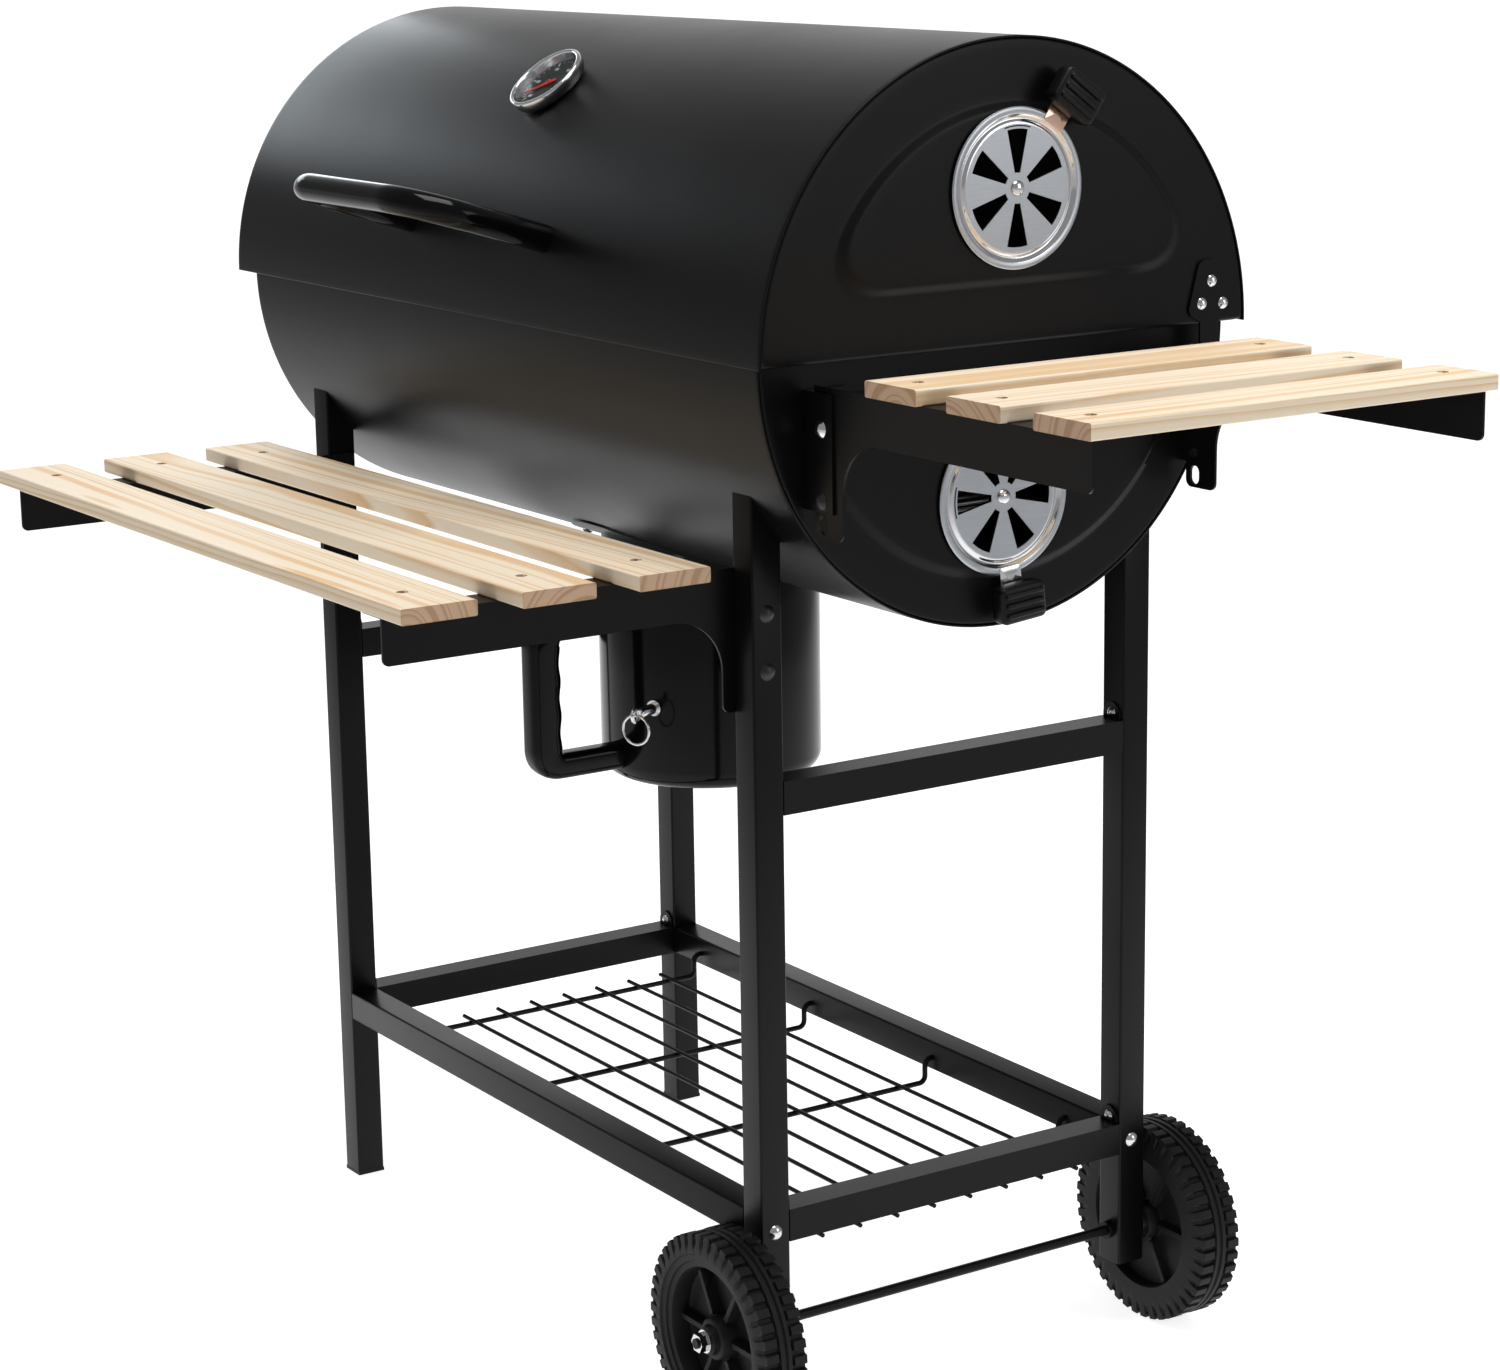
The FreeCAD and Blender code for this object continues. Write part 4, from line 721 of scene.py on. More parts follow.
def cap_grid(sizes, radius, floor, centre, start):
    """A pressed end cap as rings about a centre, from a start radius out to the bent rim.

    Each ring lies at a share of the way from the start circle to the panel's slope, across the
    slope, on to the rim, and round a quarter bend. Returns (y, z, outward) arrays.
    """
    turn = np.linspace(0, 2 * np.pi, 360, endpoint=False)
    directions = np.column_stack([np.cos(turn), np.sin(turn)])
    bend = sizes.cap_bend

    def outside(inset):
        return lambda y, z: np.maximum(np.hypot(y, z) - (radius - inset), (floor + inset) - z)

    half_ramp = sizes.panel_ramp / 2
    ramp_in = reach(lambda y, z: panel_distance(y, z, sizes) + half_ramp, centre, directions)
    ramp_out = reach(lambda y, z: panel_distance(y, z, sizes) - half_ramp, centre, directions)
    rim_in = reach(outside(bend), centre, directions)
    rim_out = reach(outside(0), centre, directions)
    ramp_in = np.maximum(ramp_in, start + 0.4 * MM)
    rows, rises = [], []
    for share in np.linspace(0, 1, 8):
        rows.append(start + share * (ramp_in - start))
        rises.append(np.full(len(turn), 1.0))
    for share in np.linspace(0, 1, 13)[1:]:
        rows.append(ramp_in + share * (ramp_out - ramp_in))
        rises.append(np.full(len(turn), 1 - ease(share)))
    for share in np.linspace(0, 1, 9)[1:]:
        rows.append(ramp_out + share * (rim_in - ramp_out))
        rises.append(np.zeros(len(turn)))
    out = [sizes.panel_rise * rise for rise in rises]
    for share in np.linspace(0, 1, 7)[1:]:
        angle = share * math.pi / 2
        rows.append(rim_in + math.sin(angle) * (rim_out - rim_in))
        out.append(np.full(len(turn), -bend * (1 - math.cos(angle))))
    rows.append(rim_out)
    out.append(np.full(len(turn), -bend - 6 * MM))
    rows, out = np.array(rows), np.array(out)
    y = centre[0] + rows * directions[:, 0]
    z = centre[1] + rows * directions[:, 1]
    return y, z, out


def window_turns(sizes, first, count):
    """Angles round a vent, the windows' sides among them, and which steps lie in a window."""
    half = sizes.window / 2
    cuts = np.concatenate([first + k * math.pi / 3 + np.array([-half, half]) for k in range(6)])
    turn = np.unique(np.round(np.concatenate([np.linspace(0, 2 * np.pi, count, endpoint=False),
                                              np.mod(cuts, 2 * np.pi)]), 6))
    middle = (turn + np.append(turn[1:], turn[0] + 2 * np.pi)) / 2
    away = np.mod(middle - first + math.pi / 6, math.pi / 3) - math.pi / 6
    return turn, np.abs(away) < half


def solid_cells(sizes, rings, in_window):
    """Marks the cells between rings and angles that are metal: all those outside a window."""
    middle = (rings[:-1] + rings[1:]) / 2
    reached = (middle > sizes.inner) & (middle < sizes.outer)
    return ~(reached[:, None] & in_window[None])


def window_rings(sizes, centre, first, stop, rise):
    """The flat middle of a cap behind a vent: rings cut by six windows. Returns grid and cells."""
    turn, in_window = window_turns(sizes, first, 120)
    rivet_hole = 3.2 * MM
    rings = np.concatenate([[rivet_hole], np.linspace(sizes.inner, sizes.outer, 6), [stop]])
    rows = rings[:, None] * np.ones(len(turn))[None]
    y = centre[0] + rows * np.cos(turn)
    z = centre[1] + rows * np.sin(turn)
    return y, z, np.full(y.shape, rise), solid_cells(sizes, rings, in_window)


def cap_points(side, face, y, z, out, flip):
    """Places cap arrays: side picks the end, flip turns the cap over for the bowl."""
    x = MID_X + side * (face + out)
    height = AXIS_Z + flip * z
    return np.stack([x, MID_Y + y, height], axis=-1)


def make_cap(name, side, face, radius, floor, flip, vent, body, node):
    """One end cap: pressed rings out to the rim, and the windowed middle where a vent sits."""
    sizes = bpy.context.scene.grill_barrel
    vents = bpy.context.scene.grill_vents
    skin = Skin()
    if vent is None:
        centre, start = (0.0, 100 * MM), 0.0
    else:
        centre, first = vent
        start = 50 * MM
        wy, wz, wout, keep = window_rings(vents, centre, first * flip, start, sizes.panel_rise)
        skin.grid(cap_points(side, face, wy, wz, wout, flip), close_columns=True, keep=keep)
    y, z, out = cap_grid(sizes, radius, floor, centre, start)
    skin.grid(cap_points(side, face, y, z, out, flip), close_columns=True)
    piece = skin.object(name, wall=1.2 * MM, sharp=60, merge=5e-6)
    return settle(piece, body, "body_paint", "paint", node)


class GRILL_OT_barrel(bpy.types.Operator):
    """Lid and bowl shells with their pressed end caps"""

    bl_idname = "grill.barrel"
    bl_label = "Barrel"

    def execute(self, context):
        sizes = context.scene.grill_barrel
        vents = context.scene.grill_vents
        lid = Skin().grid(curved_sheet(LID_R, LID_HALF, 0, math.pi, sizes.wall, sizes.steps),
                          close_columns=True).object("lid_sheet", sharp=50)
        settle(lid, "lid", "body_paint", "paint", "lid_shell")
        rim = math.asin(BOWL_RIM / BOWL_R)
        sheet = curved_sheet(BOWL_R, BOWL_HALF, rim, -math.pi - rim, sizes.wall, sizes.steps)
        bowl = Skin().grid(sheet, close_columns=True).object("bowl_sheet", sharp=50)
        settle(bowl, "cart", "body_paint", "paint", "bowl_shell")
        upper = np.array(JOINTS["upper_vent_turn"]["pos_m"])
        lower = np.array(JOINTS["lower_vent_turn"]["pos_m"])
        lid_vent = ((0.0, upper[2] - AXIS_Z), vents.upper_turn)
        bowl_vent = ((0.0, AXIS_Z - lower[2]), vents.lower_turn)
        sunk, gap, lift = 0.7 * MM, 0.4 * MM, 0.6 * MM
        for side, end in ((-1, "left"), (1, "right")):
            make_cap("lid_cap_" + end, side, LID_HALF - sunk, LID_R - sizes.wall - gap, lift, 1,
                     lid_vent if side > 0 else None, "lid", "lid_end_" + end)
            make_cap("bowl_cap_" + end, side, BOWL_HALF - sunk, BOWL_R - sizes.wall - gap,
                     -BOWL_RIM + lift, -1, bowl_vent if side > 0 else None, "cart",
                     "bowl_end_" + end)
        return {"FINISHED"}


# ---- vents -------------------------------------------------------------------------------------


def rounded_box(length, width, radius):
    """Outline of a rectangle about the origin with round corners."""
    a, b = length / 2, width / 2
    return round_corners([(-a, -b), (a, -b), (a, b), (-a, b)], radius, 8)


class GRILL_OT_vents(bpy.types.Operator):
    """Round vents: windowed discs with a polished groove, their straps, knobs and rivets"""

    bl_idname = "grill.vents"
    bl_label = "Vents"

    def execute(self, context):
        sizes = context.scene.grill_vents
        for name, first in (("upper", sizes.upper_turn), ("lower", sizes.lower_turn)):
            low = span(name + "_vent_disc")[0]
            pivot = np.array(JOINTS[name + "_vent_turn"]["pos_m"])
            centre = np.array([low[0], pivot[1], pivot[2]])
            knob_low, knob_high = span(name + "_vent_knob")
            lean = ((knob_low + knob_high) / 2 - centre)[1:]
            self.disc(name, sizes, centre, first)
            self.slit(name, centre)
            self.strap(name, centre, unit(lean))
            self.knob(name, centre, unit(lean), np.linalg.norm(lean), knob_high[0] - knob_low[0])
            self.rivet(name, centre)
        return {"FINISHED"}

    def disc(self, name, sizes, centre, first):
        """Rings of the disc: flat face, a round groove near the rim and a flat rim.

        Height over the sheet is a half wave in the groove; the rim turns down at its edge.
        """
        turn, in_window = window_turns(sizes, first, 180)
        edge = sizes.radius
        rings = np.concatenate([[3.3 * MM, 6 * MM], np.linspace(sizes.inner, sizes.outer, 8),
                                np.linspace(45.4 * MM, 53 * MM, 13),
                                [edge - 1.2 * MM, edge - 0.5 * MM, edge]])
        groove_start, groove_width, groove_depth = 46 * MM, 6.6 * MM, 1.5 * MM
        groove = np.clip((rings - groove_start) / groove_width, 0, 1)
        height = 0.7 * MM - groove_depth * np.sin(np.pi * groove) ** 2
        height += 0.9 * MM * ease((rings - 51.6 * MM) / (1.5 * MM))
        height[-2:] -= (0.15 * MM, 0.6 * MM)
        y = centre[1] + rings[:, None] * np.cos(turn)
        z = centre[2] + rings[:, None] * np.sin(turn)
        x = centre[0] + np.broadcast_to(height[:, None], y.shape)
        keep = solid_cells(sizes, rings, in_window)
        piece = Skin().grid(np.stack([x, y, z], -1), close_columns=True, keep=keep).object(
            name + "_vent_plate", wall=0.8 * MM, sharp=40, merge=2e-6)
        settle(piece, name + "_vent", "vent_steel", "steel", name + "_vent_disc")
        piece.data.materials.append(FINISH["polished"])
        centres = np.empty(len(piece.data.polygons) * 3)
        piece.data.polygons.foreach_get("center", centres)
        far = np.linalg.norm(centres.reshape(-1, 3)[:, 1:] - centre[1:], axis=1)
        shiny = (far > 45.6 * MM) & (far < 52.8 * MM)
        piece.data.polygons.foreach_set("material_index", shiny.astype(np.int32))

    def slit(self, name, centre):
        """A thin dark bar on an arc just outside the top window, or the front one if lower."""
        middle = math.pi / 2 if name == "upper" else math.pi
        radius, lift, steps = 44 * MM, 0.95 * MM, 14
        bow = np.linspace(middle - 0.26, middle + 0.26, steps)
        arc = np.column_stack([np.full(steps, lift), radius * np.cos(bow), radius * np.sin(bow)])
        bar = add_sweep(Skin(), centre + arc, 0.55 * MM, 8)
        settle(bar.object(name + "_vent_slit"), name + "_vent", "vent_steel", "knob")

    def strap(self, name, centre, lean):
        """A flat bar that leaves the disc towards the knob. On the upper vent its peach tone is a painted
        reflection of the pine shelf.
        """
        across = np.array([0, -lean[1], lean[0]])
        along = np.array([0, lean[0], lean[1]])
        skin = Skin()
        outline = rounded_box(24 * MM, 19 * MM, 1 * MM) + np.array([64 * MM, 0])
        place = along_axes(centre, along, across, (1, 0, 0))
        prism(skin, outline, 1.45 * MM, 2.65 * MM, 0.3 * MM, place)
        # The upper strap's peach finish is painted reflection of the pine shelf; the lower strap stays plain
        # polished
        settle(skin.object(name + "_vent_strap"), name + "_vent", "vent_steel",
               "painted_wood_reflection" if name == "upper" else "polished")

    def knob(self, name, centre, lean, distance, height):
        """A moulded block with soft corners and three grip ridges on its top."""
        across = np.array([0, -lean[1], lean[0]])
        along = np.array([0, lean[0], lean[1]])
        skin = Skin()
        place = along_axes(centre + along * (distance + 2.5 * MM), across, along, (1, 0, 0))
        low = 2.7 * MM
        block = rounded_box(40 * MM, 28 * MM, 5 * MM)
        prism(skin, block, low, low + height * 0.86, 2.6 * MM, place)
        pitch = 7.5 * MM
        for k in (-1, 0, 1):
            bar = rounded_box(34 * MM, 4 * MM, 1.9 * MM) + np.array([0, k * pitch])
            prism(skin, bar, low + height * 0.7, low + height, 1.2 * MM, place)
        settle(skin.object(name + "_vent_grip", sharp=50), name + "_vent", "knob_plastic", "knob",
               name + "_vent_knob")

    def rivet(self, name, centre):
        """A domed head: a quarter ellipse turned about the vent's axis."""
        bow = np.linspace(0, math.pi / 2, 9)
        dome = np.column_stack([5.7 * MM * np.cos(bow), 1.1 * MM + 3.4 * MM * np.sin(bow)])
        shank = 2.9 * MM
        profile = np.concatenate([[(0, -3 * MM), (shank, -3 * MM), (shank, 1.1 * MM)], dome])
        piece = Skin().grid(revolve(profile, centre, (1, 0, 0), 40), close_columns=True).object(
            name + "_vent_head", sharp=45)
        node = name + "_vent_rivet"
        settle(piece, body_of(node), "chrome", "chrome", node)


def body_of(node):
    """Body that a CAD node rides on."""
    for body, nodes in frame["record"]["behaviour"]["bodies"].items():
        if node in nodes:
            return body
    raise RuntimeError("no body holds " + node)


# ---- fittings of the lid -----------------------------------------------------------------------


def outward(angle):
    """Direction square to the barrel's skin at an angle above the front horizontal."""
    return np.array([0, -math.cos(angle), math.sin(angle)])


class GRILL_OT_fittings(bpy.types.Operator):
    """Lid handle and thermometer"""

    bl_idname = "grill.fittings"
    bl_label = "Lid fittings"

    def execute(self, context):
        sizes = context.scene.grill_fittings
        self.handle(sizes)
        self.thermometer(sizes)
        return {"FINISHED"}

    def handle(self, sizes):
        """A tube carried along a wide U whose corners are arcs; its ends stand on the lid."""
        out = outward(sizes.handle_angle)
        foot = np.array([MID_X, MID_Y, AXIS_Z]) + out * LID_R
        half, reach_out = sizes.handle_half, sizes.handle_reach
        start = 0.1 * MM
        flat = round_corners([(-half, start), (-half, reach_out), (half, reach_out), (half, start)],
                             sizes.handle_bend, 24, closed=False)
        flat = resample(flat, 3 * MM)
        path = foot + flat[:, :1] * np.array([1.0, 0, 0]) + flat[:, 1:] * out
        outer = tube_rings(path, sizes.handle_tube, 40)
        tube_wall = 1.5 * MM
        inner = tube_rings(path, sizes.handle_tube - tube_wall, 40)[::-1]
        rings = np.concatenate([outer, inner])
        piece = Skin().grid(rings, close_rows=True, close_columns=True).object("lid_grip", sharp=60)
        settle(piece, "lid", "gloss_paint", "gloss", "lid_handle")

    def thermometer(self, sizes):
        """Case, dial, marks, needle and domed glass, all turned about one radial line."""
        axis = outward(sizes.gauge_angle)
        base = np.array([MID_X, MID_Y, AXIS_Z]) + axis * (LID_R + 0.1 * MM)
        edge = sizes.gauge_radius
        flat = edge - 4.8 * MM
        first, second = np.array([1.0, 0, 0]), np.cross(axis, (1.0, 0, 0))
        self.case(base, axis, edge)
        self.dial(base, axis, flat)
        self.marks(base, axis, first, second, flat)
        self.needle(base, axis, first, second)
        self.glass(base, axis, flat)

    def case(self, base, axis, edge):
        """A shallow cup turned about the axis, with a half-round lip."""
        bow = np.linspace(0, math.pi, 11)
        lip, bore = 1.9 * MM, 4.1 * MM
        rim = np.column_stack([edge - lip + lip * np.cos(bow), 9.6 * MM + lip * np.sin(bow)])
        profile = np.array([(bore, 0), (edge - 5 * MM, 0), (edge - 2 * MM, 1.2 * MM),
                            (edge - 0.4 * MM, 4 * MM), *rim, (edge - 4.6 * MM, 6 * MM),
                            (edge - 5.2 * MM, 3.2 * MM), (bore, 3 * MM)])
        profile = np.concatenate([profile, profile[:1]])
        skin = Skin().grid(revolve(profile, base, axis, 96), close_columns=True)
        settle(skin.object("gauge_case", sharp=35), "lid", "chrome", "chrome", "thermometer_case")

    def dial(self, base, axis, flat):
        """A disc with the needle's pivot standing on its middle."""
        low, top, pivot, pivot_top = 3.05 * MM, 4 * MM, 1 * MM, 6.4 * MM
        profile = [(0, low), (flat, low), (flat, top), (pivot, top), (pivot, pivot_top),
                   (0, pivot_top)]
        skin = Skin().grid(revolve(profile, base, axis, 64), close_columns=True)
        settle(skin.object("gauge_dial", sharp=30), "lid", "dial_face", "dial", "thermometer_dial")

    def marks(self, base, axis, first, second, flat):
        """Printed strokes round the dial, every fifth one long, and a pair of bars inside each."""
        first_mark, mark_step = 235, 11.6
        low = 4.02 * MM
        marks = Skin()
        for i in range(26):
            angle = math.radians(first_mark - i * mark_step)
            line = np.array([math.cos(angle), math.sin(angle)])
            length, width, inset = (4.2, 0.9, 4.1) if i % 5 == 0 else (2.4, 0.5, 3.2)
            mark = rounded_box(length * MM, width * MM, 0.15 * MM)
            mark = mark + np.array([flat - inset * MM, 0])
            place = along_axes(base, first * line[0] + second * line[1],
                               second * line[0] - first * line[1], axis)
            prism(marks, mark, low, 4.14 * MM, 0.03 * MM, place)
        for i in range(6):
            angle = math.radians(first_mark - i * 5 * mark_step)
            line = np.array([math.cos(angle), math.sin(angle)])
            spot = base + (first * line[0] + second * line[1]) * (flat - 10 * MM)
            place = along_axes(spot, first, second, axis)
            for side in (-1, 1):
                bar = rounded_box(1.6 * MM, 2.8 * MM, 0.5 * MM) + np.array([side * 1.3 * MM, 0])
                prism(marks, bar, low, 4.12 * MM, 0.03 * MM, place)
        settle(marks.object("gauge_marks"), "lid", "dial_face", "mark")

    def needle(self, base, axis, first, second):
        """A tapered pointer padded to its thickness, and a turned hub."""
        turn = math.radians(215)
        pointing = first * math.cos(turn) + second * math.sin(turn)
        crossing = second * math.cos(turn) - first * math.sin(turn)
        place = along_axes(base, pointing, crossing, axis)
        tail, tip = -7 * MM, 24 * MM
        outline = [(tail, -1.5 * MM), (0, -2 * MM), (tip, -0.4 * MM), (tip, 0.4 * MM),
                   (0, 2 * MM), (tail, 1.5 * MM)]
        skin = Skin()
        prism(skin, outline, 4.7 * MM, 5.4 * MM, 0.12 * MM, place)
        bore, hub, low, top = 1.05 * MM, 3 * MM, 4.6 * MM, 6.2 * MM
        profile = [(bore, low), (hub, low), (hub, 5.9 * MM), (2.6 * MM, top), (bore, top),
                   (bore, low)]
        skin.grid(revolve(profile, base, axis, 32), close_columns=True)
        settle(skin.object("gauge_needle"), body_of("thermometer_needle"), "needle_red", "red",
               "thermometer_needle")

    def glass(self, base, axis, flat):
        """A thin dome: two parabolas turned about the axis."""
        bow = np.linspace(0, 1, 12)
        radius = (flat - 0.6 * MM)
        dome = np.column_stack([radius * (1 - bow), 8.6 * MM + 2.2 * MM * (1 - (1 - bow) ** 2)])
        under = np.column_stack([radius * bow, 7.9 * MM + 2.0 * MM * (1 - bow ** 2)])
        skin = Skin().grid(revolve(np.concatenate([under, dome]), base, axis, 64),
                           close_columns=True)
        settle(skin.object("gauge_window", sharp=50), "lid", "gauge_glass", "glass",
               "thermometer_glass")


def resample(path, step):
    """A polyline with points no further apart than about one step."""
    made = [path[:1]]
    for start, end in zip(path[:-1], path[1:]):
        count = max(1, int(math.ceil(np.linalg.norm(end - start) / step)))
        made.append(start + (end - start) * (np.arange(1, count + 1) / count)[:, None])
    return np.concatenate(made)


# ---- cart --------------------------------------------------------------------------------------


class GRILL_OT_cart(bpy.types.Operator):
    """Wheels with tread and ribs, and the cart's square tubes"""

    bl_idname = "grill.cart"
    bl_label = "Cart"

    def execute(self, context):
        sizes = context.scene.grill_cart
        for name in ("front", "rear"):
            self.wheel(sizes, name)
        for depth in ("front", "rear"):
            for side in ("left", "right"):
                self.tube(sizes, "leg_%s_%s" % (depth, side))
            self.tube(sizes, "lower_%s_rail" % depth)
        return {"FINISHED"}

    def wheel(self, sizes, name):
        """A profile turned about the axle; tread radius and disc height vary with angle.

        Lugs are square waves softened at their sides, half a pitch apart in the two rows, and run
        over the shoulders. Ribs stand where the arc to the nearest spoke line is short.
        """
        node = "wheel_" + name
        low, high = span(node)
        centre = (low + high) / 2
        outer = 1 if centre[1] > MID_Y else -1
        radius, half = (high[2] - low[2]) / 2, (high[1] - low[1]) / 2
        base = radius - sizes.lug_depth
        shares = np.array([0.04, 0.10, 0.22, 0.27, 0.34, 0.40, 0.62, 0.86, 0.93, 1])
        band = np.concatenate([-shares[::-1], shares]) * (half - 1.5 * MM)
        back = [(4.2, -19), (14, -19), (15, -18), (16, -9), (18.5, -8), (22, -8), (30, -8),
                (38, -8), (46, -8), (52, -8), (53.5, -9), (54, -18.2), (54.8, -19), (66, -19),
                (70, -18.6), (74, -18.4), (77, -18)]
        front = [(77, 18), (74, 18.6), (70, 19), (66, 19), (65, 17.6), (62, 17.2), (60.6, 17),
                 (60, 15.6), (57, 15.2), (55.6, 14.8), (54.6, 13), (53.5, 0), (52, -1), (46, -1),
                 (38, -1), (30, -1), (22, -1), (18.5, -0.6), (17, 2), (16, 13), (15, 14),
                 (12, 14.4), (11, 18.4), (10, 19), (4.2, 19)]
        profile = np.array([*np.array(back) * MM,
                            *np.column_stack([np.full(len(band), base), band]),
                            *np.array(front) * MM])
        tread = np.zeros(len(profile), bool)
        tread[len(back):len(back) + len(band)] = True
        turn = np.linspace(0, 2 * np.pi, 640, endpoint=False)
        reach_out, level = profile[:, :1], profile[:, 1:]
        phase = turn[None] / (2 * np.pi) * sizes.lugs + np.where(level > 0, 0.5, 0.0)
        wave = np.abs(np.mod(phase, 1) - 0.5) * 2
        lug = ease((0.68 - wave) / 0.10)
        middle = np.abs(level) < 0.36 * half
        ridge = np.where(np.abs(level) < 0.25 * half, 0.85, 0.0)
        groove = np.where(np.abs(level) < 0.07 * half, 0.5, 0)
        rise = np.where(middle, np.maximum(ridge - groove, 0), lug)
        across = reach_out + rise * tread[:, None] * sizes.lug_depth
        shoulder_from, shoulder_width, notch = 69 * MM, 5 * MM, 1.6 * MM
        shoulder = (reach_out > shoulder_from) & ~tread[:, None]
        wide = level - (np.sign(level) * notch * (1 - lug) * shoulder
                        * ease((reach_out - shoulder_from) / shoulder_width))
        hub, well = 18 * MM, 53 * MM
        disc = (reach_out > hub) & (reach_out < well) & (np.abs(level + 4.5 * MM) < 4 * MM)
        side = np.where(level > -4 * MM, 9 * MM, -6 * MM)
        spoke = np.abs(np.mod(turn / (2 * np.pi) * sizes.ribs, 1) - 0.5) * 2 * np.pi / sizes.ribs
        arc = (np.pi / sizes.ribs - spoke)[None] * reach_out
        rib_half, rib_slope = 3.4 * MM, 1.2 * MM
        wide = wide + side * ease((rib_half - np.abs(arc)) / rib_slope) * disc
        x = centre[0] + across * np.cos(turn)
        z = centre[2] + across * np.sin(turn)
        y = centre[1] + outer * np.broadcast_to(wide, x.shape)
        rings = np.stack([x, y, z], -1)
        skin = Skin().grid(rings, close_rows=True, close_columns=True)
        settle(skin.object("tyre_" + name, sharp=42), name + "_wheel", "wheel_plastic", "wheel",
               node)

    def tube(self, sizes, node):
        """A square tube with rounded long edges, as wide and long as its CAD box."""
        low, high = span(node)
        size = high - low
        length = int(np.argmax(size))
        others = [i for i in range(3) if i != length]
        axes = np.eye(3)
        middle = (low + high) / 2
        middle[length] = low[length]
        outline = rounded_box(size[others[0]], size[others[1]], sizes.tube_round)
        skin = Skin()
        place = along_axes(middle, axes[others[0]], axes[others[1]], axes[length])
        prism(skin, outline, 0.0, size[length], 0.3 * MM, place)
        settle(skin.object(node + "_tube", sharp=70), "cart", "body_paint", "paint", node)


# ---- ash pot -----------------------------------------------------------------------------------


